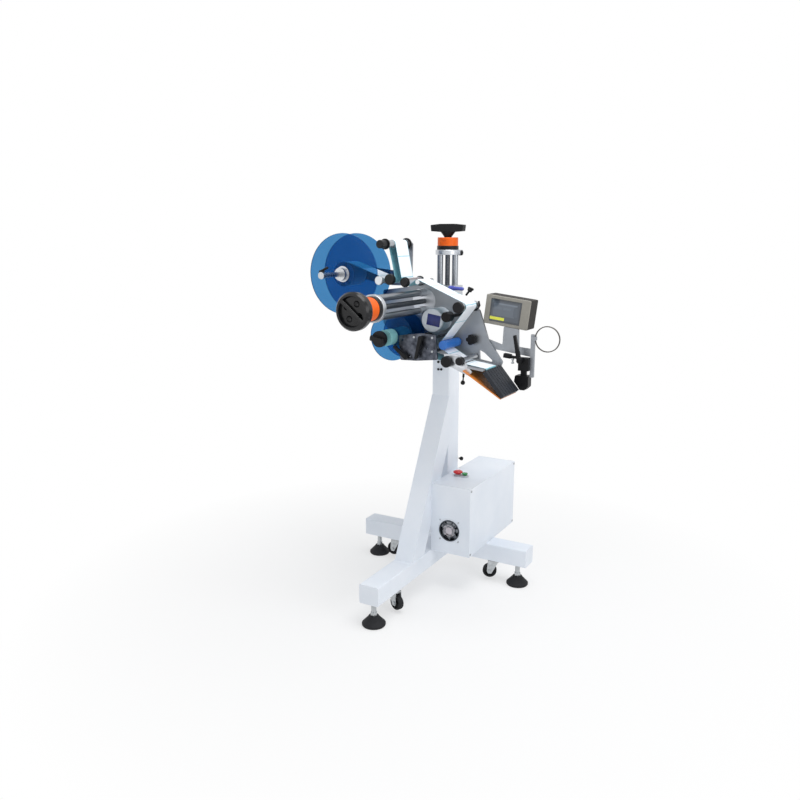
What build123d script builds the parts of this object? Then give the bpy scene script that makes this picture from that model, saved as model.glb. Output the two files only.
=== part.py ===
from build123d import *
from math import atan2, cos, degrees, hypot, pi, radians, sin
import os

# Bottle labelling machine: a web-fed labelling head on a T-shaped stand.
# Millimetres, +Z up, X along the cross beam, -Y towards the operator.
# The crossing of the cross beam and the column is laid out at (0, 0) and each
# finished piece is moved by CROSS_X and CROSS_Y.

# running and standing clearances
RUN = 0.05          # radial, shaft in bearing
GAP = 0.5           # between bodies that pass one another
WALL_GAP = 2.0      # side clearance of turning parts

# base frame and column
BEAM_W = 84.0
BEAM_H = 76.0
BEAM_Z = 97.0
BEAM_HALF = 393.0
LEG_END = 649.0
BEAM_R = 5.0
BEAM_TOP = BEAM_Z + BEAM_H
COL_W = 80.0
COL_FRONT = -68.0
COL_BACK = 32.0
COL_TOP = 985.0
COL_R = 6.0
BRACE_TOP = COL_TOP - 185.0
BRACE_INNER_TOP = BRACE_TOP - 206.0
BRACE_FOOT = -382.0
BRACE_INNER_FOOT = -279.0

# levelling feet and casters
FOOT_X = BEAM_HALF - 50.0
FOOT_Y = LEG_END - 36.0
FOOT_PAD_D = 92.0
FOOT_STUD_D = 20.0
FOOT_HOLE = 62.0
FOOT_IN = 40.0
CASTER_X = FOOT_X - 102.0
CASTER_Y = FOOT_Y - 147.0
WHEEL_D = 60.0
WHEEL_W = 22.0
WHEEL_Z = 40.0
WHEEL_TRAIL = 24.0
AXLE_D = 8.0

# control box
BOX_X0 = COL_W / 2
BOX_X1 = 215.0
BOX_Y0 = -221.0
BOX_Y1 = 257.0
BOX_H = 290.0
BOX_WALL = 2.0
BOX_R = 4.0
BOX_TOP = BEAM_TOP + BOX_H
FAN_X = 124.0
FAN_Z = BEAM_TOP + 100.0
FAN_SIZE = 92.0
FAN_DEPTH = 25.0
FAN_BORE = 86.0
FAN_PITCH = 82.5
FAN_HUB = 36.0
FAN_BLADES = 7
BUTTON_X = 104.0
BUTTON_Y = -70.0
BUTTON_PITCH = 32.0
BUTTON_D = 20.0
BUTTON_TRAVEL = 4.0
BOX_CLEAR = 25.0
SUPPLY_H = 100.0
DRIVE_H = 90.0

# slide modules: the lift on the column and the cross slide on its carriage
ROD_D = 25.0
ROD_HALF = 34.0
SCREW_D = 20.0
FLANGE_D = 100.0
FLANGE_T = 20.0
LIFT_Y = -18.0
LIFT_BASE_T = 18.0
SLIDE_Z = COL_TOP + 220.0
LIFT_FLANGE_Z = SLIDE_Z + 175.0
HANDLE_TOP = LIFT_FLANGE_Z + 123.0
CARRIAGE_W = 106.0
CARRIAGE_H = 104.0
CARRIAGE_FRONT = -60.0
CARRIAGE_BACK = 24.0
CROSS_FLANGE_Y = -613.0
SOCKET = 8.0
IND_D = 88.0
IND_BASE_T = 16.0
IND_CASE_T = 34.0
CROSS_CASE_T = 46.0
NECK_D = 30.0
HANDLE_L = 147.0
WHEEL_HAND_D = 133.0
WHEEL_HAND_DEPTH = 46.0
WHEEL_HAND_GAP = 24.0
HAND_REACH = IND_BASE_T + CROSS_CASE_T + WHEEL_HAND_GAP + WHEEL_HAND_DEPTH

# slider and head plate
SLIDER_D = 104.0
SLIDER_BACK = -115.0
PILOT_D = 100.0
PILOT_LIP = 1.0
BUSH_D = 31.0
BUSH_L = 42.0
PLATE_Y = -222.0
PLATE_T = 10.0
PLATE_BACK = PLATE_Y + PLATE_T

# label path
WEB_Y0 = -345.0
WEB_Y1 = -250.0
WEB_T = 0.6
ROLL_FAR = PLATE_Y - 6.0
AXLE = 8.0
REEL_X = -295.0
REEL_Z = SLIDE_Z + 103.0
REEL_R = 158.0
ROLL_R = 48.0
REWIND_X = -76.0
REWIND_Z = SLIDE_Z - 131.0
REWIND_R = 93.0
REWIND_ROLL_R = 31.0
DISC_T = 4.0
REEL_SHAFT_D = 20.0
REEL_SHAFT_END = -495.0
REEL_1 = (REEL_X + REEL_R + 14.0, SLIDE_Z + 83.0, 12.0)
REEL_2 = (REEL_1[0] + 48.0, SLIDE_Z + 88.0, 14.0)
TOP_ROLL = (REEL_2[0], SLIDE_Z + 220.0, 14.5)
TURN_ROLL = (-14.0, SLIDE_Z + 79.0, 15.0)
CORNER_ROLL = (222.0, SLIDE_Z - 4.0, 15.0)
DRIVE_ROLL = (150.0, SLIDE_Z - 149.0, 17.0)
HOLD_ROLL = (228.0, SLIDE_Z - 201.0, 10.0)
GUIDE_BAR = (176.0, SLIDE_Z - 206.0, 9.0)
CREST_BAR = (34.0, SLIDE_Z + 81.0, 9.0)
BAR_NEAR = WEB_Y0 - 18.0
MOTOR_X = 76.0
MOTOR_Z = SLIDE_Z - 65.0
MOTOR_D = 92.0
MOTOR_BODY = 62.0

# operator panel, peel plate and sensor
HMI_X = 343.0
HMI_Z = SLIDE_Z - 28.0
HMI_W = 178.0
HMI_H = 110.0
HMI_DEPTH = 75.0
HMI_FRONT = -211.0
HMI_TURN = 7.0
TIP_X = 318.0
TIP_Z = SLIDE_Z - 229.0
TIP_R = 4.0
PEEL_BACK = (TIP_X - 62.0, TIP_Z + 7.5)
PAD_TURN = 49.7
PAD_L = 115.0
PAD_X = TIP_X + 5.0
PAD_Z = TIP_Z - 6.0
PAD_NEAR = WEB_Y0 - 27.0
PAD_T = 12.0
PAD_RIBS = 7
LEAF_X = TIP_X - 75.0
LEAF_Z = TIP_Z - 4.0
RAIL_X = 451.0
COIL_Z = SLIDE_Z - 118.0
COIL_R = 47.0
CABLE_D = 8.0
RAIL_W = 14.0
COIL_X = RAIL_X + RAIL_W / 2 + CABLE_D / 2 + COIL_R
RAIL_LOW = SLIDE_Z - 265.0
RAIL_HIGH = SLIDE_Z - 105.0
SENSOR_Z = SLIDE_Z - 210.0
SENSOR_X = RAIL_X - 37.0
SENSOR_FRONT = PLATE_Y - 14.0
BRAKE_X = 167.0
BRAKE_Z = SLIDE_Z - 42.0
STAR_X = 215.0
STAR_Z = SLIDE_Z - 136.0

# outlines of the head's plates, as X and height above the cross slide's middle
HEAD_CORNERS = (
    (-62.0, 91.0),
    (38.0, 73.0),
    (205.0, 1.0),
    (238.0, -25.0),
    (276.0, -133.0),
    (336.0, -215.0),
    (328.0, -239.0),
    (240.0, -241.0),
    (130.0, -231.0),
    (-60.0, -181.0),
    (-118.0, -165.0),
    (-186.0, -95.0),
    (-186.0, 38.0),
    (-66.0, 54.0),
)
HEAD_WINDOW = (
    (240.0, -174.0),
    (262.0, -185.0),
    (298.0, -214.0),
    (288.0, -219.0),
    (243.0, -212.0),
)
CHEEK_CORNERS = (
    (-38.0, -123.0),
    (60.0, -109.0),
    (122.0, -113.0),
    (130.0, -205.0),
    (40.0, -215.0),
    (-30.0, -217.0),
)
CHEEK_POSTS = ((30.0, -125.0), (108.0, -123.0), (40.0, -201.0), (108.0, -175.0))
CHEEK_HOLES = ((-20.0, -139.0), (10.0, -201.0), (86.0, -165.0))

# origin: on the floor under the middle of the machine
CROSS_X = -(REEL_X - REEL_R + RAIL_X + RAIL_W / 2) / 2
CROSS_Y = -(CROSS_FLANGE_Y - HAND_REACH + BOX_Y1) / 2


def block(x0, x1, y0, y1, z0, z1):
    """Box between two corners."""
    return Pos((x0 + x1) / 2, (y0 + y1) / 2, (z0 + z1) / 2) * Box(
        abs(x1 - x0), abs(y1 - y0), abs(z1 - z0)
    )


def rod_z(x, y, z0, z1, d):
    """Round bar along Z."""
    return Pos(x, y, (z0 + z1) / 2) * Cylinder(d / 2, abs(z1 - z0))


def rod_y(x, z, y0, y1, d):
    """Round bar along Y."""
    return Pos(x, (y0 + y1) / 2, z) * Rot(90, 0, 0) * Cylinder(d / 2, abs(y1 - y0))


def rod_x(y, z, x0, x1, d):
    """Round bar along X."""
    return Pos((x0 + x1) / 2, y, z) * Rot(0, 90, 0) * Cylinder(d / 2, abs(x1 - x0))


def plate_y(points, y0, y1, corner=0.0):
    """Flat plate in the XZ plane between y0 and y1, with rounded corners."""
    face = make_face(Polyline(*points, close=True))
    if corner:
        face = fillet(face.vertices(), corner)
    return Pos(0, max(y0, y1), 0) * extrude(Plane.XZ * face, abs(y1 - y0))


def screw_head(d, h):
    """Button head with a hexagon recess, its seat at Z = 0."""
    head = fillet(Cylinder(d / 2, h).edges().group_by(Axis.Z)[-1], h * 0.35)
    recess = extrude(RegularPolygon(d * 0.28, 6), h)
    return Pos(0, 0, h / 2) * (head - recess)


def raised(points):
    """Points given from the cross slide's middle height, as (x, z)."""
    return [(x, SLIDE_Z + z) for x, z in points]


def joined(parts):
    """Several solids of one kind kept together in one file."""
    return Compound(children=list(parts))


def save(shape, name):
    """Place a finished piece about the machine's origin and write it."""
    solids = [Pos(CROSS_X, CROSS_Y, 0) * solid for solid in shape.solids()]
    whole = solids[0] if len(solids) == 1 else Compound(solids)
    export_step(whole, "parts/" + name + ".step")
    print(name, round(whole.volume))


# ---------------------------------------------------------------- stand


def foot_places():
    """Plan positions of the three levelling feet."""
    return (("left", -FOOT_X, 0.0), ("right", FOOT_X, 0.0), ("front", 0.0, -FOOT_Y))


def caster_places():
    """Plan positions and trail directions of the three casters."""
    return (
        ("left", -CASTER_X, 0.0, 180.0),
        ("right", CASTER_X, 0.0, 200.0),
        ("front", 0.0, -CASTER_Y, -20.0),
    )


def base_frame():
    """Welded T of two rectangular tubes, with the foot bushes bored in."""
    half = BEAM_W / 2
    cross = block(-BEAM_HALF, BEAM_HALF, -half, half, BEAM_Z, BEAM_TOP)
    leg = block(-half, half, -LEG_END, 0, BEAM_Z, BEAM_TOP)
    cross = fillet(cross.edges().filter_by(Axis.X), BEAM_R)
    leg = fillet(leg.edges().filter_by(Axis.Y), BEAM_R)
    frame = cross + leg
    for _, x, y in foot_places():
        frame -= rod_z(x, y, BEAM_Z - 1, BEAM_Z + FOOT_HOLE, FOOT_STUD_D + 2 * RUN)
    return frame


def column():
    """Upright tube with the welded diagonal brace in front of it."""
    post = block(-COL_W / 2, COL_W / 2, COL_FRONT, COL_BACK, BEAM_TOP, COL_TOP)
    post = fillet(post.edges().filter_by(Axis.Z), COL_R)
    outline = [
        (COL_FRONT + COL_R, BRACE_TOP),
        (COL_FRONT, BRACE_TOP),
        (BRACE_FOOT, BEAM_TOP),
        (BRACE_INNER_FOOT, BEAM_TOP),
        (COL_FRONT, BRACE_INNER_TOP),
        (COL_FRONT + COL_R, BRACE_INNER_TOP),
    ]
    face = make_face(Polyline(*outline, close=True))
    brace = Pos(-COL_W / 2, 0, 0) * extrude(Plane.YZ * face, COL_W)
    return post + brace


def foot(x, y):
    """Levelling foot: rubber cone pad, adjusting hexagon and threaded stud."""
    r = FOOT_PAD_D / 2
    outline = [(0, 0), (r - 3, 0), (r, 4), (r, 10), (r * 0.5, 34), (r * 0.42, 40), (0, 40)]
    pad = revolve(Plane.XZ * make_face(Polyline(*outline, close=True)), Axis.Z)
    nut = Pos(0, 0, 40) * extrude(RegularPolygon(14, 6), 14)
    stud = rod_z(0, 0, 50, BEAM_Z + FOOT_IN, FOOT_STUD_D)
    for step in range(6):
        z = 58 + step * 6
        stud -= Pos(0, 0, z) * Torus(FOOT_STUD_D / 2 + 0.3, 0.9)
    return Pos(x, y, 0) * (pad + nut + stud)


def caster_plates():
    """Fixing plates and swivel races of the three casters."""
    plates = []
    for _, x, y, _ in caster_places():
        plate = block(-32, 32, -32, 32, BEAM_Z - 3, BEAM_Z)
        plate = fillet(plate.edges().filter_by(Axis.Z), 8)
        race = rod_z(0, 0, BEAM_Z - 9, BEAM_Z - 3, 40)
        plates.append(Pos(x, y, 0) * (plate + race))
    return joined(plates)


def caster_fork(x, y, turn):
    """Swivel fork with its riveted wheel axle, trailing behind the pivot."""
    top = BEAM_Z - 9 - GAP
    cheek_gap = WHEEL_W / 2 + WALL_GAP
    crown = rod_z(0, 0, top - 5, top, 42)
    crown += block(0, WHEEL_TRAIL + 8, -cheek_gap - 3, cheek_gap + 3, top - 5, top)
    side = [
        (-12, top - 5),
        (WHEEL_TRAIL + 8, top - 5),
        (WHEEL_TRAIL + 11, WHEEL_Z),
        (WHEEL_TRAIL + 6, WHEEL_Z - 11),
        (WHEEL_TRAIL - 8, WHEEL_Z - 11),
        (WHEEL_TRAIL - 14, WHEEL_Z),
    ]
    fork = crown
    for y0 in (-cheek_gap - 3, cheek_gap):
        fork += plate_y(side, y0, y0 + 3, 3)
    fork += rod_y(WHEEL_TRAIL, WHEEL_Z, -cheek_gap - 5, cheek_gap + 5, AXLE_D)
    for y0 in (-cheek_gap - 7, cheek_gap + 3):
        fork += rod_y(WHEEL_TRAIL, WHEEL_Z, y0, y0 + 4, 14)
    return Pos(x, y, 0) * Rot(0, 0, turn) * fork


def caster_wheel(x, y, turn):
    """Caster wheel: rounded tread, recessed web and hub."""
    half = WHEEL_W / 2
    wheel = rod_y(0, 0, -half, half, WHEEL_D)
    wheel = fillet(wheel.edges(), 4)
    ring = rod_y(0, 0, -half, half, WHEEL_D - 16) - rod_y(0, 0, -half, half, 24)
    wheel -= Pos(0, -half - 4, 0) * ring & rod_y(0, 0, -half, -5, WHEEL_D)
    wheel -= Pos(0, half + 4, 0) * ring & rod_y(0, 0, 5, half, WHEEL_D)
    wheel -= rod_y(0, 0, -half - 1, half + 1, AXLE_D + 2 * RUN)
    return Pos(x, y, 0) * Rot(0, 0, turn) * Pos(WHEEL_TRAIL, 0, WHEEL_Z) * wheel


# ---------------------------------------------------------- control box


def box_shell():
    """Folded steel case, open on its right-hand side for the cover."""
    x1 = BOX_X1 - BOX_WALL
    outer = block(BOX_X0, x1, BOX_Y0, BOX_Y1, BEAM_TOP, BOX_TOP)
    inner = block(
        BOX_X0 + BOX_WALL,
        x1 + 1,
        BOX_Y0 + BOX_WALL,
        BOX_Y1 - BOX_WALL,
        BEAM_TOP + BOX_WALL,
        BOX_TOP - BOX_WALL,
    )
    shell = outer - inner
    flange = 16.0
    for y, z in cover_holes():
        y0 = y - flange / 2
        z0 = z - flange / 2
        shell += block(x1 - BOX_WALL, x1, y0, y0 + flange, z0, z0 + flange)
    shell -= rod_y(FAN_X, FAN_Z, BOX_Y0 - 1, BOX_Y0 + BOX_WALL + 1, FAN_BORE)
    for x in button_places():
        shell -= rod_z(x, BUTTON_Y, BOX_TOP - BOX_WALL - 1, BOX_TOP + 1, BUTTON_D + 4)
    slot = block(60, 160, BOX_Y1 - BOX_WALL - 1, BOX_Y1 + 1, -2, 2)
    for step in range(6):
        shell -= Pos(0, 0, BEAM_TOP + 60 + step * 12) * slot
    return shell


def cover_holes():
    """Fixing points of the side cover (Y, Z), clear of the case's walls."""
    y_in = 10.0
    return [
        (y, z)
        for y in (BOX_Y0 + y_in, BOX_Y1 - y_in)
        for z in (BEAM_TOP + y_in, BOX_TOP - y_in)
    ]


def button_places():
    """X positions of the stop and start buttons."""
    return (BUTTON_X - BUTTON_PITCH / 2, BUTTON_X + BUTTON_PITCH / 2)


def box_cover():
    """Flat side cover of the control box."""
    cover = block(BOX_X1 - BOX_WALL, BOX_X1, BOX_Y0, BOX_Y1, BEAM_TOP, BOX_TOP)
    return fillet(cover.edges().filter_by(Axis.X), BOX_R)


def fan_corners():
    """Fixing points of the fan (X, Z)."""
    half = FAN_PITCH / 2
    return [(FAN_X + i * half, FAN_Z + j * half) for i in (-1, 1) for j in (-1, 1)]


def frame_screws():
    """Button-head screws of the cover and the fan, and bolts on the column."""
    screws = []
    for y, z in cover_holes():
        screws.append(Pos(BOX_X1, y, z) * Rot(0, 90, 0) * screw_head(9, 3))
    for x, z in fan_corners():
        screws.append(Pos(x, BOX_Y0, z) * Rot(90, 0, 0) * screw_head(7, 3))
    for x, z in ((-11, 942), (-11, 911), (3, 912)):
        screws.append(Pos(x, COL_FRONT, z) * Rot(90, 0, 0) * screw_head(10, 5))
    return joined(screws)


def fan_frame():
    """Square fan frame with its struts and motor boss."""
    y0 = BOX_Y0 + BOX_WALL
    y1 = y0 + FAN_DEPTH
    half = FAN_SIZE / 2
    frame = block(FAN_X - half, FAN_X + half, y0, y1, FAN_Z - half, FAN_Z + half)
    frame = fillet(frame.edges().filter_by(Axis.Y), 5)
    frame -= rod_y(FAN_X, FAN_Z, y0 - 1, y1 + 1, FAN_BORE)
    frame += rod_y(FAN_X, FAN_Z, y1 - 5, y1, FAN_HUB)
    for turn in range(4):
        strut = block(FAN_HUB / 2 - 1, FAN_BORE / 2 + 1, y1 - 5, y1, -2.5, 2.5)
        frame += Pos(FAN_X, 0, FAN_Z) * Rot(0, 45 + 90 * turn, 0) * strut
    return frame


def fan_rotor():
    """Fan hub with pitched blades, turning about its own axis."""
    y0 = BOX_Y0 + BOX_WALL + 2
    y1 = BOX_Y0 + BOX_WALL + FAN_DEPTH - 5 - GAP
    rotor = fillet(rod_y(0, 0, y0, y1, FAN_HUB).edges().group_by(Axis.Y)[0], 2)
    span = FAN_BORE / 2 - WALL_GAP - FAN_HUB / 2 + 2
    for turn in range(FAN_BLADES):
        blade = Rot(0, 0, 0) * Box(span, 1.6, 20)
        blade = Pos(FAN_HUB / 2 - 2 + span / 2, (y0 + y1) / 2, 0) * Rot(32, 0, 0) * blade
        rotor += Rot(0, turn * 360 / FAN_BLADES, 0) * blade
    reach = rod_y(0, 0, y0, y1, FAN_BORE - 2 * WALL_GAP)
    return Pos(FAN_X, 0, FAN_Z) * (rotor & reach)


def fan_guard():
    """Wire finger guard on the front of the box, with its round centre."""
    y1 = BOX_Y0
    guard = rod_y(0, 0, y1 - 3, y1, FAN_BORE + 4) - rod_y(0, 0, y1 - 4, y1 + 1, FAN_BORE - 4)
    for r in (32.0, 24.0):
        guard += rod_y(0, 0, y1 - 3, y1 - 1, 2 * r) - rod_y(0, 0, y1 - 4, y1, 2 * r - 4)
    guard += rod_y(0, 0, y1 - 3, y1 - 1, 30)
    for turn in (45, 135, 225, 315):
        arm = block(13, FAN_BORE / 2, y1 - 3, y1 - 1, -1.5, 1.5)
        guard += Rot(0, turn, 0) * arm
    return Pos(FAN_X, 0, FAN_Z) * guard


def button_bezel():
    """Oval plate with the two button collars on top of the control box."""
    z0 = BOX_TOP
    base = extrude(SlotCenterToCenter(BUTTON_PITCH, BUTTON_D + 16), 3)
    bezel = Pos(BUTTON_X, BUTTON_Y, z0) * base
    for x in button_places():
        bezel += rod_z(x, BUTTON_Y, z0 - 20, z0 + 7, BUTTON_D + 4)
    for x in button_places():
        bezel -= rod_z(x, BUTTON_Y, z0 - 16, z0 + 8, BUTTON_D + 2 * GAP)
    return bezel


def push_button(x, proud):
    """Round push button, domed on top, with its plunger in the collar."""
    z0 = BOX_TOP - 16 + BUTTON_TRAVEL + 1
    cap = rod_z(x, BUTTON_Y, z0, BOX_TOP + proud, BUTTON_D)
    return fillet(cap.edges().group_by(Axis.Z)[-1], 2)


def control_electronics():
    """Power supply and motor drive, screwed to the case's inner side wall."""
    wall = BOX_X0 + BOX_WALL
    x0 = wall + 5
    low = BEAM_TOP + BOX_CLEAR
    high = BOX_TOP - BOX_CLEAR
    supply = block(x0, x0 + 45, -20, 180, low, low + SUPPLY_H)
    drive = block(x0, x0 + 80, 30, 170, high - DRIVE_H, high)
    for step in range(8):
        y = 40 + step * 15
        drive -= block(x0 + 72, x0 + 81, y, y + 8, high - DRIVE_H + 5, high - 5)
    for y in (40, 160):
        for z in (low + 10, low + SUPPLY_H - 10):
            supply += rod_x(y, z, wall, x0 + 1, 8)
        for z in (high - DRIVE_H + 10, high - 10):
            drive += rod_x(y, z, wall, x0 + 1, 8)
    return joined([supply, drive])


# -------------------------------------------------------- slide modules


def rods_along(turned, near, far, d=ROD_D):
    """The two guide rods of a slide module, along Z or along Y."""
    if turned:
        return [rod_y(0, SLIDE_Z + s * ROD_HALF, near, far, d) for s in (-1, 1)]
    return [rod_z(s * ROD_HALF, LIFT_Y, near, far, d) for s in (-1, 1)]


def sockets(turned, near, far):
    """Cutters for the sockets that the guide rods are seated in."""
    return rods_along(turned, near, far, ROD_D + 2 * RUN)


def lift_end_plates():
    """Square foot of the lift on the column and the round flange at its top."""
    base = block(-56, 56, COL_FRONT, COL_BACK, COL_TOP, COL_TOP + LIFT_BASE_T)
    base = fillet(base.edges().filter_by(Axis.Z), COL_R)
    base -= rod_z(0, LIFT_Y, COL_TOP + 3, COL_TOP + 99, SCREW_D + 2 * RUN)
    for bore in sockets(False, COL_TOP + LIFT_BASE_T - SOCKET, LIFT_FLANGE_Z + SOCKET):
        base -= bore
    top = rod_z(0, LIFT_Y, LIFT_FLANGE_Z, LIFT_FLANGE_Z + FLANGE_T, FLANGE_D)
    top = chamfer(top.edges(), 1.5)
    top -= rod_z(0, LIFT_Y, LIFT_FLANGE_Z - 1, LIFT_FLANGE_Z + 99, SCREW_D + 2 * RUN)
    for bore in sockets(False, LIFT_FLANGE_Z - 9, LIFT_FLANGE_Z + SOCKET):
        top -= bore
    lug = block(47, 62, LIFT_Y - 12, LIFT_Y + 12, LIFT_FLANGE_Z + 1, LIFT_FLANGE_Z + FLANGE_T)
    return joined([base, top + lug])


def indicator(case_t):
    """Position indicator: round base and counter case, bored for the shaft."""
    base = Cylinder(IND_D / 2, IND_BASE_T)
    base = Pos(0, 0, IND_BASE_T / 2) * fillet(base.edges(), 2)
    case = Pos(0, 0, case_t / 2) * Cylinder(IND_D / 2 - 2, case_t)
    case = fillet(case.edges().group_by(Axis.Z)[-1], 3)
    both = base + Pos(0, 0, IND_BASE_T - 0.5) * case
    window = Pos(0, -IND_D / 2 + 1, IND_BASE_T + case_t / 2) * Box(26, 6, 14)
    both -= window
    return both - Pos(0, 0, 40) * Cylinder(NECK_D / 2 + GAP, 200)


def lift_screw():
    """Lead screw of the lift, with thread grooves over its working length."""
    z1 = LIFT_FLANGE_Z + FLANGE_T
    screw = rod_z(0, LIFT_Y, COL_TOP + 4, z1 + 20, SCREW_D)
    screw -= rod_z(0, LIFT_Y, z1 + 19, z1 + 21, 1)
    return screw


def lift_handle():
    """T-handle: tapered neck, hub and rounded cross bar."""
    z0 = LIFT_FLANGE_Z + FLANGE_T + 20
    top = HANDLE_TOP
    bar_h = 32.0
    neck_top = top - bar_h
    hub_h = 20.0
    neck = rod_z(0, LIFT_Y, z0, neck_top - hub_h, NECK_D)
    hub = Pos(0, LIFT_Y, neck_top - hub_h) * loft(
        [Circle(NECK_D / 2), Pos(0, 0, hub_h + 2) * Ellipse(34, 17)]
    )
    outline = [
        (-HANDLE_L / 2 + 3, neck_top + 3),
        (-HANDLE_L / 2, top - 4),
        (-30, top),
        (30, top),
        (HANDLE_L / 2, top - 4),
        (HANDLE_L / 2 - 3, neck_top + 3),
        (30, neck_top),
        (-30, neck_top),
    ]
    bar = plate_y(outline, LIFT_Y - 14, LIFT_Y + 14, 3)
    return neck + hub + bar


def lift_carriage():
    """Carriage of the lift, bored for the rods and carrying the cross slide."""
    z0 = SLIDE_Z - CARRIAGE_H / 2
    z1 = SLIDE_Z + CARRIAGE_H / 2
    half = CARRIAGE_W / 2
    body = block(-half, half, CARRIAGE_FRONT, CARRIAGE_BACK, z0, z1)
    body = fillet(body.edges().filter_by(Axis.Z), 8)
    for s in (-1, 1):
        body -= rod_z(s * ROD_HALF, LIFT_Y, z0 - 1, z1 + 1, ROD_D + 2 * RUN)
    body -= rod_z(0, LIFT_Y, z0 - 1, z1 + 1, SCREW_D + 2 * RUN)
    for bore in sockets(True, CARRIAGE_FRONT - 9, CARRIAGE_FRONT + SOCKET):
        body -= bore
    return body


def cross_end_flange():
    """Round end flange of the cross slide, with its split clamping lug."""
    y0 = CROSS_FLANGE_Y
    flange = rod_y(0, SLIDE_Z, y0, y0 + FLANGE_T, FLANGE_D)
    flange = chamfer(flange.edges(), 1.5)
    for bore in sockets(True, y0 + FLANGE_T - SOCKET, y0 + 99):
        flange -= bore
    return flange - rod_y(0, SLIDE_Z, y0 - 1, y0 + 99, SCREW_D + 2 * RUN)


def cross_screw():
    """Lead screw of the cross slide."""
    return rod_y(0, SLIDE_Z, CROSS_FLANGE_Y - 20, CARRIAGE_FRONT - 1, SCREW_D)


def handwheel():
    """Dished handwheel with a grip bar across its face and finger recesses."""
    depth = WHEEL_HAND_DEPTH
    r = WHEEL_HAND_D / 2
    y_back = CROSS_FLANGE_Y - HAND_REACH + depth
    outline = [
        (0, 0),
        (r - 16, 0),
        (r - 4, 8),
        (r, 20),
        (r, depth - 8),
        (r - 6, depth),
        (r - 14, depth),
        (r - 18, depth - 12),
        (0, depth - 12),
    ]
    wheel = revolve(Plane.XZ * make_face(Polyline(*outline, close=True)), Axis.Z)
    for turn in (60, 150, 240, 330):
        dimple = Pos(30, 0, depth - 6) * Sphere(13)
        wheel -= Rot(0, 0, turn) * dimple
    grip = Pos(0, 0, depth - 8) * Box(2 * r - 22, 15, 18)
    grip = fillet(grip.edges().filter_by(Axis.X), 5)
    wheel += Rot(0, 0, -40) * grip
    neck_l = HAND_REACH - depth - 18
    neck = Pos(0, 0, 1 - neck_l / 2) * Cylinder(NECK_D / 2, neck_l)
    wheel = Pos(0, y_back, SLIDE_Z) * Rot(90, 0, 0) * (wheel + neck)
    end = CROSS_FLANGE_Y - 20
    return wheel - rod_y(0, SLIDE_Z, end, end + 200, 3 * SCREW_D)


def slider_block():
    """Round slider on the cross rods with the pilot that carries the head."""
    body = rod_y(0, SLIDE_Z, PLATE_BACK + GAP, SLIDER_BACK, SLIDER_D)
    body = chamfer(body.edges().group_by(Axis.Y)[-1], 3)
    body += rod_y(0, SLIDE_Z, PLATE_Y - PILOT_LIP, PLATE_BACK + 2, PILOT_D)
    for s in (-1, 1):
        z = SLIDE_Z + s * ROD_HALF
        body += rod_y(0, z, PLATE_Y - BUSH_L, PLATE_Y, BUSH_D)
        body -= rod_y(0, z, PLATE_Y - 99, SLIDER_BACK + 1, ROD_D + 2 * RUN)
    return body - rod_y(0, SLIDE_Z, PLATE_Y - 99, SLIDER_BACK + 1, SCREW_D + 2 * RUN)


# ----------------------------------------------------------------- head


def head_plate():
    """Main plate of the labelling head; everything on the head hangs on it."""
    plate = plate_y(raised(HEAD_CORNERS), PLATE_Y, PLATE_BACK, 9)
    plate -= plate_y(raised(HEAD_WINDOW), PLATE_Y - 1, PLATE_BACK + 1, 4)
    plate -= rod_y(0, SLIDE_Z, PLATE_Y - 1, PLATE_BACK + 1, PILOT_D + 2 * RUN)
    return plate


def reel_arm():
    """Arm behind the head plate for the supply reel and its rollers."""
    y0 = PLATE_BACK
    y1 = PLATE_BACK + 8
    beam = [
        (REEL_X - 26, REEL_Z - 20),
        (REEL_X - 26, REEL_Z + 20),
        (REEL_X + 20, REEL_Z + 26),
        (TOP_ROLL[0] - 23, REEL_Z + 8),
        (TOP_ROLL[0] - 17, TOP_ROLL[1]),
        (TOP_ROLL[0], TOP_ROLL[1] + 16),
        (TOP_ROLL[0] + 16, TOP_ROLL[1]),
        (TOP_ROLL[0] + 13, REEL_Z - 14),
        (TOP_ROLL[0] + 35, REEL_Z - 32),
        (TOP_ROLL[0] + 9, REEL_Z - 46),
        (REEL_1[0] - 27, REEL_Z - 46),
        (REEL_X + 16, REEL_Z - 26),
    ]
    return plate_y(beam, y0, y1, 5)


def shaft_list():
    """Every fixed roller axle as (x, z, front end)."""
    return [
        (REEL_1[0], REEL_1[1], WEB_Y0 - 6, PLATE_BACK),
        (REEL_2[0], REEL_2[1], WEB_Y0 - 6, PLATE_BACK),
        (TOP_ROLL[0], TOP_ROLL[1], WEB_Y0 - 50, PLATE_BACK),
        (TURN_ROLL[0], TURN_ROLL[1], WEB_Y0 - 6, PLATE_Y),
        (CORNER_ROLL[0], CORNER_ROLL[1], WEB_Y0 - 24, PLATE_Y),
        (DRIVE_ROLL[0], DRIVE_ROLL[1], WEB_Y0 - 6, PLATE_Y),
        (HOLD_ROLL[0], HOLD_ROLL[1], WEB_Y0 - 10, PLATE_Y),
        (REWIND_X, REWIND_Z, WEB_Y0 - 55, PLATE_Y),
    ]


def roller_shafts():
    """Fixed axles, the two guide bars, the reel spindle and the peel edge bar."""
    bars = [rod_y(x, z, y0, y1, AXLE) for x, z, y0, y1 in shaft_list()]
    for bar, near in ((GUIDE_BAR, BAR_NEAR), (CREST_BAR, WEB_Y0 + 4)):
        bars.append(rod_y(bar[0], bar[1], near, PLATE_Y, 2 * bar[2]))
    spindle = rod_y(REEL_X, REEL_Z, REEL_SHAFT_END, PLATE_BACK, REEL_SHAFT_D)
    front = WEB_Y0 - DISC_T - WALL_GAP
    spindle += rod_y(REEL_X, REEL_Z, front - 22, front, 50)
    spindle += rod_y(REEL_X, REEL_Z, REEL_SHAFT_END - 4, REEL_SHAFT_END + 16, 27)
    bars.append(spindle)
    return joined(bars)


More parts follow.
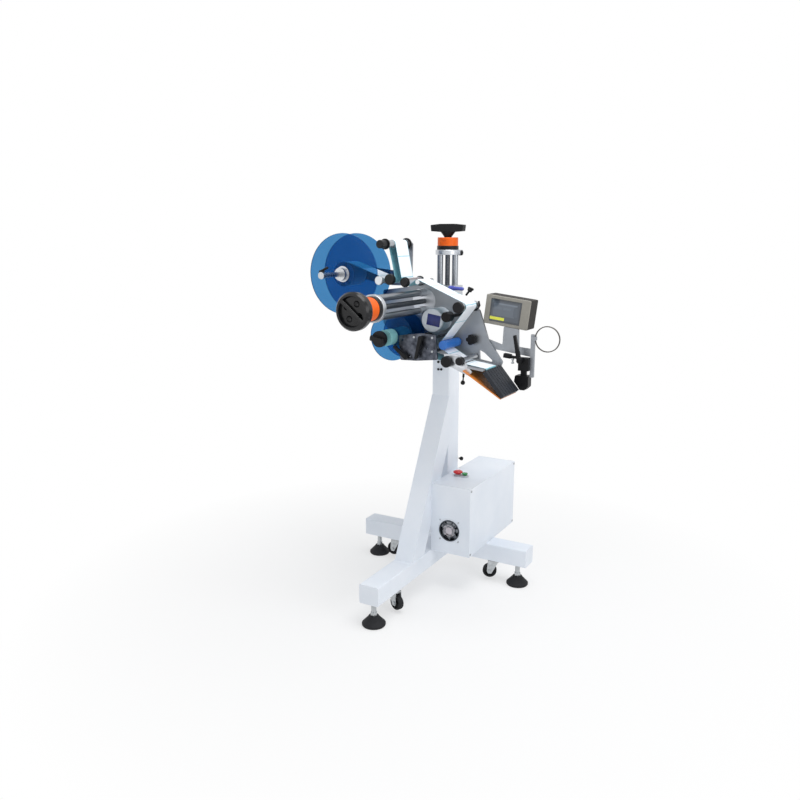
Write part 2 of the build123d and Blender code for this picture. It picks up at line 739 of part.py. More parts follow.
def roller(spec, near, collars, knob=0.0, knob_d=0.0):
    """Hollow roller on its fixed axle, with end collars and a closed cap."""
    x, z, r = spec
    far = ROLL_FAR
    body = rod_y(x, z, near, far, 2 * r)
    for y, d in collars:
        body += rod_y(x, z, y, y + 6, d)
    if knob:
        cap = rod_y(x, z, near - knob, near + 1, knob_d or 2 * r + 2)
        body += fillet(cap.edges().group_by(Axis.Y)[0], 3)
    return body


def bored(body, spec, bottom):
    """Cut the axle's running bore from the far end down to its closed end."""
    x, z, _ = spec
    return body - rod_y(x, z, bottom, ROLL_FAR + 1, AXLE + 2 * RUN)


def unwind_discs():
    """The two clear discs of the supply reel, with their hub bores."""
    discs = []
    for y in (WEB_Y0 - DISC_T, WEB_Y1):
        disc = rod_y(REEL_X, REEL_Z, y, y + DISC_T, 2 * REEL_R)
        discs.append(disc - rod_y(REEL_X, REEL_Z, y - 1, y + 9, REEL_SHAFT_D + 2 * WALL_GAP))
    return joined(discs)


def unwind_core():
    """Core of the supply reel with its roll of labels, running on the spindle."""
    core = rod_y(REEL_X, REEL_Z, WEB_Y0, WEB_Y1, 2 * ROLL_R)
    return core - rod_y(REEL_X, REEL_Z, WEB_Y0 - 1, WEB_Y1 + 1, REEL_SHAFT_D + 2 * RUN)


def rewind_discs():
    """The two clear discs of the liner rewind reel."""
    discs = []
    for y in (WEB_Y0 - DISC_T, WEB_Y1):
        disc = rod_y(REWIND_X, REWIND_Z, y, y + DISC_T, 2 * REWIND_R)
        discs.append(disc - rod_y(REWIND_X, REWIND_Z, y - 1, y + 9, 2 * REWIND_ROLL_R - 20))
    return joined(discs)


def rewind_core():
    """Rewind mandrel with the waste liner on it and the wing knob in front."""
    y0 = WEB_Y0 - DISC_T - 52
    core = rod_y(REWIND_X, REWIND_Z, WEB_Y0, WEB_Y1, 2 * REWIND_ROLL_R)
    core += rod_y(REWIND_X, REWIND_Z, WEB_Y0 - DISC_T, WEB_Y1 + DISC_T, 2 * REWIND_ROLL_R - 20)
    core += rod_y(REWIND_X, REWIND_Z, y0, WEB_Y0 - DISC_T, 2 * REWIND_ROLL_R)
    core += rod_y(REWIND_X, REWIND_Z, y0 - 30, y0, 24)
    knob = rod_y(REWIND_X, REWIND_Z, y0 - 62, y0 - 22, 62)
    knob = fillet(knob.edges(), 8)
    for side in (-1, 1):
        cut = block(-60, 60, y0 - 70, y0 - 40, side * 9, side * 60)
        knob -= Pos(REWIND_X, 0, REWIND_Z) * Rot(0, 12, 0) * cut
    core += knob
    return core - rod_y(REWIND_X, REWIND_Z, WEB_Y0 - 56, WEB_Y1 + 9, AXLE + 2 * RUN)


def tangent(a, ra, b, rb):
    """Points where a web touches two rollers; the sign of r is the side."""
    dx = b[0] - a[0]
    dz = b[1] - a[1]
    dist = hypot(dx, dz)
    turn = atan2(dz, dx)
    lean = (ra - rb) / dist
    side = (lean * lean < 1) and (1 - lean * lean) ** 0.5
    nx = lean * cos(turn) - side * sin(turn)
    nz = lean * sin(turn) + side * cos(turn)
    return (a[0] + ra * nx, a[1] + ra * nz), (b[0] + rb * nx, b[1] + rb * nz)


def web_stations():
    """Rollers in the order of the label path with the side the web takes."""
    lift = GAP + WEB_T / 2
    return [
        (REEL_X, REEL_Z, ROLL_R + lift),
        (REEL_1[0], REEL_1[1], REEL_1[2] + lift),
        (REEL_2[0], REEL_2[1], -REEL_2[2] - lift),
        (TOP_ROLL[0], TOP_ROLL[1], TOP_ROLL[2] + lift),
        (TURN_ROLL[0], TURN_ROLL[1], -TURN_ROLL[2] - lift),
        (CREST_BAR[0], CREST_BAR[1], CREST_BAR[2] + lift),
        (CORNER_ROLL[0], CORNER_ROLL[1], CORNER_ROLL[2] + lift),
        (DRIVE_ROLL[0], DRIVE_ROLL[1], -DRIVE_ROLL[2] - lift),
        (HOLD_ROLL[0], HOLD_ROLL[1], -HOLD_ROLL[2] - lift),
        (TIP_X, TIP_Z, TIP_R + lift),
        (GUIDE_BAR[0], GUIDE_BAR[1], GUIDE_BAR[2] + lift),
        (REWIND_X, REWIND_Z, REWIND_ROLL_R + lift),
    ]


def arc_points(centre, radius, start, end):
    """Middle point of the arc a web takes round a roller."""
    a0 = atan2(start[1] - centre[1], start[0] - centre[0])
    a1 = atan2(end[1] - centre[1], end[0] - centre[0])
    if radius > 0:
        while a1 > a0:
            a1 -= 2 * pi
    else:
        while a1 < a0:
            a1 += 2 * pi
    mid = (a0 + a1) / 2
    r = abs(radius)
    return (centre[0] + r * cos(mid), centre[1] + r * sin(mid))


def web_line():
    """Centre line of the label web: tangent runs and arcs round the rollers."""
    stops = web_stations()
    runs = []
    for a, b in zip(stops, stops[1:]):
        runs.append(tangent(a, a[2], b, b[2]))
    edges = [Line(*runs[0])]
    for i in range(1, len(runs)):
        centre = stops[i]
        start = runs[i - 1][1]
        end = runs[i][0]
        if hypot(end[0] - start[0], end[1] - start[1]) > 0.2:
            middle = arc_points(centre, centre[2], start, end)
            edges.append(ThreePointArc(start, middle, end))
        edges.append(Line(*runs[i]))
    return Wire(edges)


def label_web():
    """Label web as a thin closed strip along its path."""
    line = web_line()
    face = make_face(offset(line, WEB_T / 2, side=Side.BOTH))
    print("web length", round(line.length, 1), "width", WEB_Y1 - WEB_Y0)
    return Pos(0, WEB_Y1 - 1, 0) * extrude(Plane.XZ * face, WEB_Y1 - WEB_Y0 - 2)


def drive_motor():
    """Drive motor through the plate: round end cap in front, body behind."""
    cap = rod_y(MOTOR_X, MOTOR_Z, PLATE_Y - 78, PLATE_Y, MOTOR_D)
    cap = fillet(cap.edges().group_by(Axis.Y)[0], 5)
    half = MOTOR_BODY / 2
    body = block(MOTOR_X - half, MOTOR_X + half, PLATE_BACK, -122, MOTOR_Z - half, MOTOR_Z + half)
    return joined([cap, fillet(body.edges().filter_by(Axis.Y), 10)])


def nip_bracket():
    """Front cheek plate of the traction unit on its spacer posts."""
    y0 = WEB_Y0 - 12
    cheek = plate_y(raised(CHEEK_CORNERS), y0, y0 + 5, 6)
    for x, z in raised(CHEEK_POSTS):
        cheek += rod_y(x, z, y0 + 1, PLATE_Y, 12)
    for x, z in raised(CHEEK_HOLES):
        cheek -= rod_y(x, z, y0 - 1, y0 + 6, 7)
    return cheek


def side_bracket():
    """Sheet bracket for the operator panel, ending in the sensor rail."""
    y0 = PLATE_BACK
    y1 = y0 + 6
    outline = [
        (252, SLIDE_Z - 127),
        (330, SLIDE_Z - 151),
        hmi_foot(-3),
        hmi_foot(58),
        (396, SLIDE_Z - 155),
        (RAIL_X - RAIL_W / 2, SLIDE_Z - 159),
        (RAIL_X - RAIL_W / 2, SLIDE_Z - 189),
        (262, SLIDE_Z - 165),
    ]
    bracket = plate_y(outline, y0, y1, 4)
    half = RAIL_W / 2
    rail = block(RAIL_X - half, RAIL_X + half, y0 - 6, y1, RAIL_LOW, RAIL_HIGH)
    clip = block(RAIL_X, COIL_X - COIL_R + 5, y0 - 16, y0 - 2, COIL_Z - 7, COIL_Z + 7)
    return bracket + rail + (clip - sensor_cable())


def hmi_foot(along):
    """Point on the lower face of the operator panel, along from its middle."""
    turn = radians(HMI_TURN)
    x = HMI_X + along * cos(turn) - HMI_H / 2 * sin(turn)
    return (x, HMI_Z - along * sin(turn) - HMI_H / 2 * cos(turn))


def hmi_place():
    """Location of the operator panel's front face centre."""
    return Pos(HMI_X, HMI_FRONT, HMI_Z) * Rot(0, HMI_TURN, 0)


def hmi_case():
    """Operator panel: deep case with a bezel and a screen recess."""
    case = Pos(0, HMI_DEPTH / 2, 0) * Box(HMI_W, HMI_DEPTH, HMI_H)
    case = fillet(case.edges().filter_by(Axis.Y), 5)
    case = chamfer(case.edges().group_by(Axis.Y)[0], 2)
    case -= Pos(-6, 0, 0) * Box(124, 8, 86)
    return hmi_place() * case


def hmi_screen():
    """Glass touch panel set into the recess of the case."""
    return hmi_place() * (Pos(-6, 2.5, 0) * Box(123, 3, 85))


def peel_plate():
    """Wedge-nosed peel plate between its bar and the head plate."""
    bx, bz = PEEL_BACK
    run = atan2(TIP_Z - bz, TIP_X - bx)
    nose = TIP_R
    ux, uz = cos(run), sin(run)
    nx, nz = -uz, ux
    outline = [
        (TIP_X + nx * nose, TIP_Z + nz * nose),
        (TIP_X + ux * nose, TIP_Z + uz * nose),
        (TIP_X - nx * nose, TIP_Z - nz * nose),
        (bx - nx * nose, bz - nz * nose),
        (bx + nx * nose, bz + nz * nose),
    ]
    return plate_y(outline, WEB_Y0 - 18, PLATE_Y)


def tilted(x, z, turn, shape):
    """Place a flat piece drawn along +X at (x, z), turned down by an angle."""
    return Pos(x, 0, z) * Rot(0, turn, 0) * shape


def wipe_pad():
    """Ribbed rubber pad that wipes the label on, with its backing plate."""
    far = PLATE_Y - 2
    pad = block(0, PAD_L, PAD_NEAR, far, -3, PAD_T)
    for step in range(1, PAD_RIBS):
        y = PAD_NEAR + step * (far - PAD_NEAR) / PAD_RIBS
        pad -= block(-1, PAD_L + 1, y - 1.5, y + 1.5, PAD_T - 2, PAD_T + 1)
    return tilted(PAD_X, PAD_Z, PAD_TURN, pad)


def peel_spring():
    """Sprung leaf that runs from under the guide bar to the pad's lower end."""
    turn = radians(PAD_TURN)
    end_x = PAD_X + PAD_L * cos(turn) - 3 * sin(turn)
    end_z = PAD_Z - PAD_L * sin(turn) - 3 * cos(turn)
    run = hypot(end_x - LEAF_X, LEAF_Z - end_z)
    lean = degrees(atan2(LEAF_Z - end_z, end_x - LEAF_X))
    return tilted(LEAF_X, LEAF_Z, lean, block(0, run, PAD_NEAR - 2, PLATE_Y, -3, 0))


def label_sensor():
    """Label sensor: clamp block on the rail, stem and rounded sensor head."""
    side = RAIL_X - RAIL_W / 2
    z = SENSOR_Z
    clamp = block(side - 40, side, SENSOR_FRONT, PLATE_BACK, z - 30, z + 19)
    stem = block(side - 34, side - 12, PLATE_Y, PLATE_BACK, z - 52, z - 29)
    outline = (
        (side - 54, z - 50),
        (side - 2, z - 50),
        (side - 2, z - 92),
        (side - 16, z - 105),
        (side - 34, z - 105),
        (side - 58, z - 74),
    )
    head = plate_y(outline, PLATE_Y - 4, PLATE_Y + 30, 5)
    return clamp + stem + head


def sensor_cable():
    """Spare length of sensor cable, coiled and tied beside the rail."""
    coil = Pos(COIL_X, PLATE_Y, COIL_Z) * Rot(90, 0, 0) * Torus(COIL_R, CABLE_D / 2)
    return coil


def clamp_levers():
    """Clamping levers and knobs of the head, each on the piece that it holds."""
    y0 = WEB_Y0 - 12
    parts = []
    levers = (
        (66, SLIDE_Z - 127, y0, 104, 80),
        (2, SLIDE_Z - 202, y0, 217, 64),
        (SENSOR_X, SENSOR_Z + 9, SENSOR_FRONT, 258, 96),
    )
    for x, z, y, turn, length in levers:
        hub = rod_y(x, z, y - 20, y, 20)
        arm = plate_y(((0, -8), (length, -5), (length, 5), (0, 8)), y - 22, y - 11, 3)
        parts.append(hub + Pos(x, 0, z) * Rot(0, turn, 0) * arm)
    knob = rod_y(GUIDE_BAR[0], GUIDE_BAR[1], BAR_NEAR - 20, BAR_NEAR, 43)
    parts.append(fillet(knob.edges(), 4))
    brake = rod_y(BRAKE_X, BRAKE_Z, PLATE_Y - 110, PLATE_Y, 14)
    cap = rod_y(BRAKE_X, BRAKE_Z, PLATE_Y - 148, PLATE_Y - 108, 38)
    parts.append(brake + fillet(cap.edges(), 4))
    star = rod_y(STAR_X, STAR_Z, PLATE_Y - 26, PLATE_Y - 8, 40)
    for turn in range(5):
        x = STAR_X + 24 * cos(radians(72 * turn))
        z = STAR_Z + 24 * sin(radians(72 * turn))
        star -= rod_y(x, z, PLATE_Y - 30, PLATE_Y - 5, 17)
    parts.append(star + rod_y(STAR_X, STAR_Z, PLATE_Y - 10, PLATE_Y, 14))
    return joined(parts)


def write_stand():
    """Fixed stand, control box, feet and casters."""
    save(base_frame(), "base_frame")
    save(column(), "column")
    save(box_shell(), "box_shell")
    save(box_cover(), "box_cover")
    save(frame_screws(), "frame_screws")
    save(fan_frame(), "fan_frame")
    save(fan_guard(), "fan_guard")
    save(fan_rotor(), "fan_rotor")
    save(button_bezel(), "button_bezel")
    save(push_button(button_places()[0], 12), "stop_button")
    save(push_button(button_places()[1], 9), "start_button")
    save(control_electronics(), "control_electronics")
    save(caster_plates(), "caster_plates")
    for name, x, y in foot_places():
        save(foot(x, y), "foot_" + name)
    for name, x, y, turn in caster_places():
        save(caster_fork(x, y, turn), "caster_" + name + "_fork")
        save(caster_wheel(x, y, turn), "caster_" + name + "_wheel")


def write_slides():
    """Lift and cross slide."""
    rods = rods_along(False, COL_TOP + LIFT_BASE_T - SOCKET, LIFT_FLANGE_Z + SOCKET)
    save(joined(rods), "lift_rods")
    save(lift_end_plates(), "lift_end_plates")
    ring = Pos(0, LIFT_Y, LIFT_FLANGE_Z + FLANGE_T) * indicator(IND_CASE_T)
    save(ring, "lift_indicator")
    save(lift_screw(), "lift_screw")
    save(lift_handle(), "lift_handle")
    save(lift_carriage(), "lift_carriage")
    rods = rods_along(True, CROSS_FLANGE_Y + FLANGE_T - SOCKET, CARRIAGE_FRONT + SOCKET)
    save(joined(rods), "cross_rods")
    save(cross_end_flange(), "cross_end_flange")
    ring = Pos(0, CROSS_FLANGE_Y, SLIDE_Z) * Rot(90, 0, 0) * indicator(CROSS_CASE_T)
    save(ring, "cross_indicator")
    save(cross_screw(), "cross_screw")
    save(handwheel(), "handwheel")
    save(slider_block(), "slider_block")


def write_head():
    """Labelling head and its brackets."""
    save(head_plate(), "head_plate")
    save(reel_arm(), "reel_arm")
    save(roller_shafts(), "roller_shafts")
    save(label_web(), "label_web")
    save(drive_motor(), "drive_motor")
    save(nip_bracket(), "nip_bracket")
    save(side_bracket(), "side_bracket")
    save(hmi_case(), "hmi_case")
    save(hmi_screen(), "hmi_screen")
    save(peel_plate(), "peel_plate")
    save(peel_spring(), "peel_spring")
    save(wipe_pad(), "wipe_pad")
    save(label_sensor(), "label_sensor")
    save(sensor_cable(), "sensor_cable")
    save(clamp_levers(), "clamp_levers")


def write_rollers():
    """Reels and rollers that turn on the head."""
    save(unwind_discs(), "unwind_discs")
    save(unwind_core(), "unwind_core")
    save(rewind_discs(), "rewind_discs")
    save(rewind_core(), "rewind_core")
    near = WEB_Y0 - 8
    ends = ((ROLL_FAR - 6, 38.0), (near, 38.0))
    plain = bored(roller(REEL_1, near, (), 12, 34.0), REEL_1, WEB_Y0 - 7)
    save(plain, "roller_reel_in")
    capped = bored(roller(REEL_2, near, ((near, 38.0),), 14, 41.0), REEL_2, WEB_Y0 - 7)
    save(capped, "roller_reel_out")
    top = roller(TOP_ROLL, near - 44, ((ROLL_FAR - 6, 44.0), (near - 44, 40.0)), 38)
    save(bored(top, TOP_ROLL, WEB_Y0 - 51), "roller_top")
    turn = roller(TURN_ROLL, near + 2, ends, 10, 33.0)
    save(bored(turn, TURN_ROLL, WEB_Y0 - 7), "roller_turn")
    corner = roller(CORNER_ROLL, near - 18, ((near - 18, 36.0),), 14, 41.0)
    save(bored(corner, CORNER_ROLL, WEB_Y0 - 25), "roller_corner")
    hold = roller(HOLD_ROLL, near - 4, (), 22, 30.0)
    save(bored(hold, HOLD_ROLL, WEB_Y0 - 11), "roller_peel")
    save(bored(roller(DRIVE_ROLL, near, ()), DRIVE_ROLL, WEB_Y0 - 7), "drive_roller")


if __name__ == "__main__":
    os.makedirs("parts", exist_ok=True)
    write_stand()
    write_slides()
    write_head()
    write_rollers()
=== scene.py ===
# %% [markdown]
# # Bottle labelling machine
# A web-fed labelling head stands on a white T-shaped stand. The supply reel, the
# rollers, the drive and the peel plate hang on one plate, and two crank slides set
# the plate's height and reach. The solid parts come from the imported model, so this
# file adds what a solid model can't show: finishes, the thin label web, the coiled
# cable and the small fittings that are screwed or snapped on.

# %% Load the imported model
import bpy
import bmesh
from math import atan2, ceil, cos, hypot, pi, radians, sin
from mathutils import Matrix, Vector


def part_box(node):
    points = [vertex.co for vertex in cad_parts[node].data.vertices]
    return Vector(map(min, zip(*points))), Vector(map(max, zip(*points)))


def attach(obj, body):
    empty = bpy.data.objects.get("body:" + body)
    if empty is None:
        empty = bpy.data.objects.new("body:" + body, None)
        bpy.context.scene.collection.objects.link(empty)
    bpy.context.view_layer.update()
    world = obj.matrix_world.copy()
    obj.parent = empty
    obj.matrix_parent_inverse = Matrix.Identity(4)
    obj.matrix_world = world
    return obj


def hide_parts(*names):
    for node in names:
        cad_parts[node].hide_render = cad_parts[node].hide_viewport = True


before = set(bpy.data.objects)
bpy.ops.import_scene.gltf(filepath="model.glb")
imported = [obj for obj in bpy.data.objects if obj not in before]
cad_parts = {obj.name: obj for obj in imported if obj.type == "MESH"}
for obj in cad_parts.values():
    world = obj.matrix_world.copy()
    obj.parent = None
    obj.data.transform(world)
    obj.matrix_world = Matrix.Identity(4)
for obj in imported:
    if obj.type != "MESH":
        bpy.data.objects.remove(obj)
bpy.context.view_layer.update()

# %% [markdown]
# ## One shared zero point
# All machine drawings here count millimetres from the point where the column meets
# the cross beam. Places could be typed straight in metres, but then none of them would
# match a drawing. So the column gives the X of that point and the left levelling foot
# its Y, and one function turns drawing millimetres into model metres.

# %% Places in millimetres


def middle(node):
    """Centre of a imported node's box."""
    low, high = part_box(node)
    return (low + high) / 2


CROSSING = Vector((middle("column").x, middle("foot_left").y, 0.0))


def at(x, y, z):
    """Point in the model, given in millimetres from the beam crossing."""
    return CROSSING + Vector((x, y, z)) / 1000


print("crossing at", [round(v, 4) for v in CROSSING])

# %% [markdown]
# ## Colour and node helpers
# Paint charts and screens give colours in sRGB, while the renderer works in linear
# light. One function turns one into the other. Nodes could be placed by hand in the
# shader editor, but a script can be read and repeated: a second function adds any
# node, sets its values and joins its inputs, so each finish reads as a short list.

# %% Helpers for finishes


def linear(code):
    """Linear RGBA of an sRGB hex colour."""
    parts = [int(code[i:i + 2], 16) / 255 for i in (1, 3, 5)]
    return [c / 12.92 if c <= 0.04045 else ((c + 0.055) / 1.055) ** 2.4 for c in parts] + [1.0]


def add(finish, kind, values=None, links=None, **settings):
    """Add one node with its settings, socket values and links."""
    node = finish.node_tree.nodes.new(kind)
    for name, value in settings.items():
        setattr(node, name, value)
    for socket, value in (values or {}).items():
        node.inputs[socket].default_value = value
    for socket, source in (links or {}).items():
        finish.node_tree.links.new(source, node.inputs[socket])
    return node


def start_finish(name, **values):
    """A new material with its shader on the output, and its object coordinates."""
    finish = bpy.data.materials.new(name)
    finish.use_nodes = True
    finish.node_tree.nodes.clear()
    shader = add(finish, "ShaderNodeBsdfPrincipled")
    for socket, value in values.items():
        shader.inputs[socket.replace("_", " ")].default_value = value
    add(finish, "ShaderNodeOutputMaterial", links={"Surface": shader.outputs["BSDF"]})
    place = add(finish, "ShaderNodeTexCoord")
    return finish, shader, place.outputs["Object"]


def join(finish, source, shader, socket):
    """Link one output to a shader input."""
    finish.node_tree.links.new(source, shader.inputs[socket])


def per_mm(size):
    """Texture scale that makes one feature this many millimetres wide."""
    return 1000.0 / size


def mottled(finish, shader, place, light, dark, size, low, high, bump, grain):
    """Slow colour change, roughness change and fine surface relief in one finish."""
    cloud = add(finish, "ShaderNodeTexNoise", {"Scale": per_mm(size), "Detail": 4.0}, {"Vector": place})
    ramp = add(finish, "ShaderNodeValToRGB", links={"Fac": cloud.outputs["Fac"]})
    ramp.color_ramp.elements[0].position = 0.3
    ramp.color_ramp.elements[1].position = 0.7
    ramp.color_ramp.elements[0].color = linear(dark)
    ramp.color_ramp.elements[1].color = linear(light)
    join(finish, ramp.outputs["Color"], shader, "Base Color")
    rough = add(finish, "ShaderNodeMapRange", {"To Min": low, "To Max": high},
                {"Value": cloud.outputs["Fac"]})
    join(finish, rough.outputs["Result"], shader, "Roughness")
    relief = add(finish, "ShaderNodeTexNoise", {"Scale": per_mm(grain), "Detail": 2.0}, {"Vector": place})
    lift = add(finish, "ShaderNodeBump", {"Strength": bump, "Distance": 0.0002},
               {"Height": relief.outputs["Fac"]})
    join(finish, lift.outputs["Normal"], shader, "Normal")


def wear(node, *names):
    """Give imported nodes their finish."""
    for name in names:
        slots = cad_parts[name].data.materials
        slots.clear()
        slots.append(node)


# %% [markdown]
# ## White powder-coated steel
# The stand and the control box are welded mild steel, blasted and powder coated.
# Powder melts into a skin with faint orange peel about 2 mm across, so the gloss is
# soft and never mirror flat. A plain white shader would make the large faces look like
# cards, so the white leans to blue and changes slowly in tone and gloss over 180 mm.

# %% Powder coat
powder_coat, shader, place = start_finish("powder_coated_steel", IOR=1.5, Coat_Weight=0.12,
                                          Coat_Roughness=0.25)
mottled(powder_coat, shader, place, "#E9EEF5", "#DFE6EF", 180, 0.36, 0.48, 0.12, 2.0)
wear(powder_coat, "base_frame", "column", "box_shell", "box_cover")
print("powder coat on 4 nodes")

# %% [markdown]
# ## Bare and plated metals
# Ground and chromed guide rods are smooth, with a faint change of tone every 2 mm or so
# where the plating is thicker. Clear anodised aluminium is blasted first, so its gloss
# is even and grey, and zinc plating on pressed steel is brighter and slightly cloudy.
# All of them are full metals. The rods need no relief and are made by hand, and one
# helper with other tones, roughness and grain sizes covers the rest of the family.

# %% Chromed rods
rod_chrome, shader, place = start_finish("ground_hard_chrome", Metallic=1.0, Roughness=0.28)
in_detail = add(rod_chrome, "ShaderNodeMapping", {"Scale": (60.0, 60.0, 60.0)}, {"Vector": place})
plating = add(rod_chrome, "ShaderNodeTexNoise", {"Scale": 9.0, "Detail": 3.0},
              {"Vector": in_detail.outputs["Vector"]})
tint = add(rod_chrome, "ShaderNodeValToRGB", links={"Fac": plating.outputs["Fac"]})
tint.color_ramp.elements[0].color = linear("#8A8E94")
tint.color_ramp.elements[1].color = linear("#A4A8AE")
join(rod_chrome, tint.outputs["Color"], shader, "Base Color")
wear(rod_chrome, "lift_rods", "cross_rods")
print("chrome on 2 nodes")


# %% Plain metal finishes
def metal(name, light, dark, low, high, cloud_mm, grain_mm, bump):
    """A metal with cloudy tone and gloss and a fine blasted or rolled grain."""
    finish, shader, place = start_finish(name, Metallic=1.0)
    mottled(finish, shader, place, light, dark, cloud_mm, low, high, bump, grain_mm)
    return finish


anodised_clear = metal("clear_anodised_aluminium", "#C9CCD1", "#BCC0C5", 0.34, 0.42, 30, 0.8, 0.10)
anodised_grey = metal("grey_anodised_plate", "#9DA1A6", "#92969C", 0.42, 0.52, 60, 0.8, 0.10)
anodised_dark = metal("dark_anodised_plate", "#666A74", "#34373F", 0.28, 0.44, 18, 0.8, 0.12)
zinc_plate = metal("bright_zinc_plate", "#C3C6C8", "#A9ADB0", 0.24, 0.42, 9, 1.2, 0.12)
ground_steel = metal("ground_steel", "#C4C6C9", "#B3B6BA", 0.22, 0.32, 12, 0.8, 0.08)
thread_steel = metal("rolled_thread_steel", "#6C6F74", "#4B4E53", 0.3, 0.42, 5, 1.6, 0.35)
wear(anodised_clear, "lift_end_plates", "cross_end_flange", "slider_block", "lift_carriage",
     "roller_reel_in")
wear(anodised_grey, "head_plate", "reel_arm", "side_bracket", "peel_plate")
wear(anodised_dark, "nip_bracket")
wear(zinc_plate, "caster_plates", "caster_left_fork", "caster_right_fork",
     "caster_front_fork")
wear(ground_steel, "roller_shafts")
wear(thread_steel, "lift_screw", "cross_screw")
print("metal finishes:", 1 + 6)

# %% [markdown]
# ## Moulded plastic and rubber
# Knobs, handles and the fan are glass-filled nylon from a spark-eroded mould: black,
# half matt, with a fine grain. Rubber is rougher and a little greyer, and the painted
# steel leaf and the blue polyurethane keep their own strong colours. None is a metal,
# so they share a helper too. In a white room black plastic picks up a grey veil, and
# its mirror share is set lower to keep it black.


# %% Plastics
def moulded(name, light, dark, low, high, grain_mm, bump, ior=1.5, cloud_mm=20, shine=0.5):
    """A moulded or cast finish: no metal in it, with its own grain and mirror share."""
    finish, shader, place = start_finish(name, IOR=ior, Specular_IOR_Level=shine)
    mottled(finish, shader, place, light, dark, cloud_mm, low, high, bump, grain_mm)
    return finish


black_nylon = moulded("black_glass_filled_nylon", "#141518", "#0C0D0F", 0.36, 0.48, 0.8, 0.22,
                      shine=0.2)
pale_nylon = moulded("pale_moulded_plastic", "#C9CDD3", "#BBC0C7", 0.35, 0.45, 0.8, 0.12)
gloss_nylon = moulded("black_gloss_nylon", "#141518", "#0B0C0E", 0.2, 0.28, 0.8, 0.1, shine=0.35)
black_rubber = moulded("black_rubber", "#222326", "#17181A", 0.62, 0.78, 1.5, 0.3, 1.52, shine=0.25)
ribbed_rubber = moulded("slate_ribbed_rubber", "#2C3037", "#21242A", 0.5, 0.65, 1.2, 0.25, 1.52,
                        shine=0.25)
red_button = moulded("red_gloss_plastic", "#D0252A", "#BE1C22", 0.18, 0.26, 2.0, 0.03)
green_button = moulded("green_gloss_plastic", "#1E8F47", "#187C3C", 0.18, 0.26, 2.0, 0.03)
motor_paint = moulded("light_grey_enamel", "#DEE4EB", "#D0D7DF", 0.30, 0.40, 2.0, 0.1)
folded_grey = moulded("grey_drive_case", "#7C8083", "#6E7275", 0.4, 0.5, 1.5, 0.1)
orange_leaf = moulded("orange_painted_leaf", "#D9822F", "#C46F22", 0.30, 0.42, 1.5, 0.08)
blue_polyurethane = moulded("blue_polyurethane", "#2A74C9", "#1F63B6", 0.35, 0.48, 1.2, 0.12)
roll_paper = moulded("wound_label_roll", "#BFE0FF", "#A9D2F8", 0.45, 0.55, 0.6, 0.12)
wear(black_nylon, "fan_frame", "lift_handle", "label_sensor", "clamp_levers")
wear(gloss_nylon, "handwheel")
wear(pale_nylon, "button_bezel", "fan_rotor")
wear(black_rubber, "caster_left_wheel", "caster_right_wheel", "caster_front_wheel")
wear(ribbed_rubber, "wipe_pad")
wear(red_button, "stop_button")
wear(green_button, "start_button")
wear(motor_paint, "drive_motor")
wear(folded_grey, "control_electronics")
wear(orange_leaf, "peel_spring")
wear(blue_polyurethane, "drive_roller")
wear(roll_paper, "unwind_core")
print("moulded and painted finishes:", 12)

# %% [markdown]
# ## Clear blue reel discs
# The discs are cast acrylic sheet with a steel-blue tint, 4 mm thick. Lamps have to
# reach the label roll between the discs, and a thin flat sheet bends light too little
# to see. So a tinted see-through shader is mixed with a blue glossy one: the Fresnel
# node makes the sheet mirror more at grazing angles, and a small constant share keeps
# the faint milky body colour of the plastic.

# %% Acrylic
TINT_SHARE = 0.08
acrylic, shader, place = start_finish("blue_cast_acrylic", IOR=1.49, Roughness=0.05)
haze = add(acrylic, "ShaderNodeTexNoise", {"Scale": per_mm(60), "Detail": 3.0}, {"Vector": place})
tint = add(acrylic, "ShaderNodeValToRGB", links={"Fac": haze.outputs["Fac"]})
tint.color_ramp.elements[0].color = linear("#8BBCDD")
tint.color_ramp.elements[1].color = linear("#94C3E2")
body_tint = add(acrylic, "ShaderNodeValToRGB", links={"Fac": haze.outputs["Fac"]})
body_tint.color_ramp.elements[0].color = linear("#2F77B4")
body_tint.color_ramp.elements[1].color = linear("#3A84C2")
join(acrylic, body_tint.outputs["Color"], shader, "Base Color")
see_through = add(acrylic, "ShaderNodeBsdfTransparent", links={"Color": tint.outputs["Color"]})
mirror = add(acrylic, "ShaderNodeFresnel", {"IOR": 1.49})
share = add(acrylic, "ShaderNodeMath", {1: TINT_SHARE}, {0: mirror.outputs["Fac"]}, operation="ADD",
            use_clamp=True)
sheet = add(acrylic, "ShaderNodeMixShader", links={0: share.outputs[0], 1: see_through.outputs["BSDF"],
                                                  2: shader.outputs["BSDF"]})
output = acrylic.node_tree.nodes["Material Output"]
acrylic.node_tree.links.new(sheet.outputs["Shader"], output.inputs["Surface"])
wear(acrylic, "unwind_discs", "rewind_discs")
print("acrylic on 2 nodes, tint share", TINT_SHARE)

# %% [markdown]
# ## Parts made of two materials
# A roller is an aluminium sleeve with black end collars and a black cap, a foot is a
# rubber cone on a plated stud, and an indicator is an orange case on a black base.
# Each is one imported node. Its faces could be given separate material slots, but a
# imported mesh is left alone, so the finish changes across the surface instead: a
# distance from the roller's own axis, or a height, picks one look or the other.


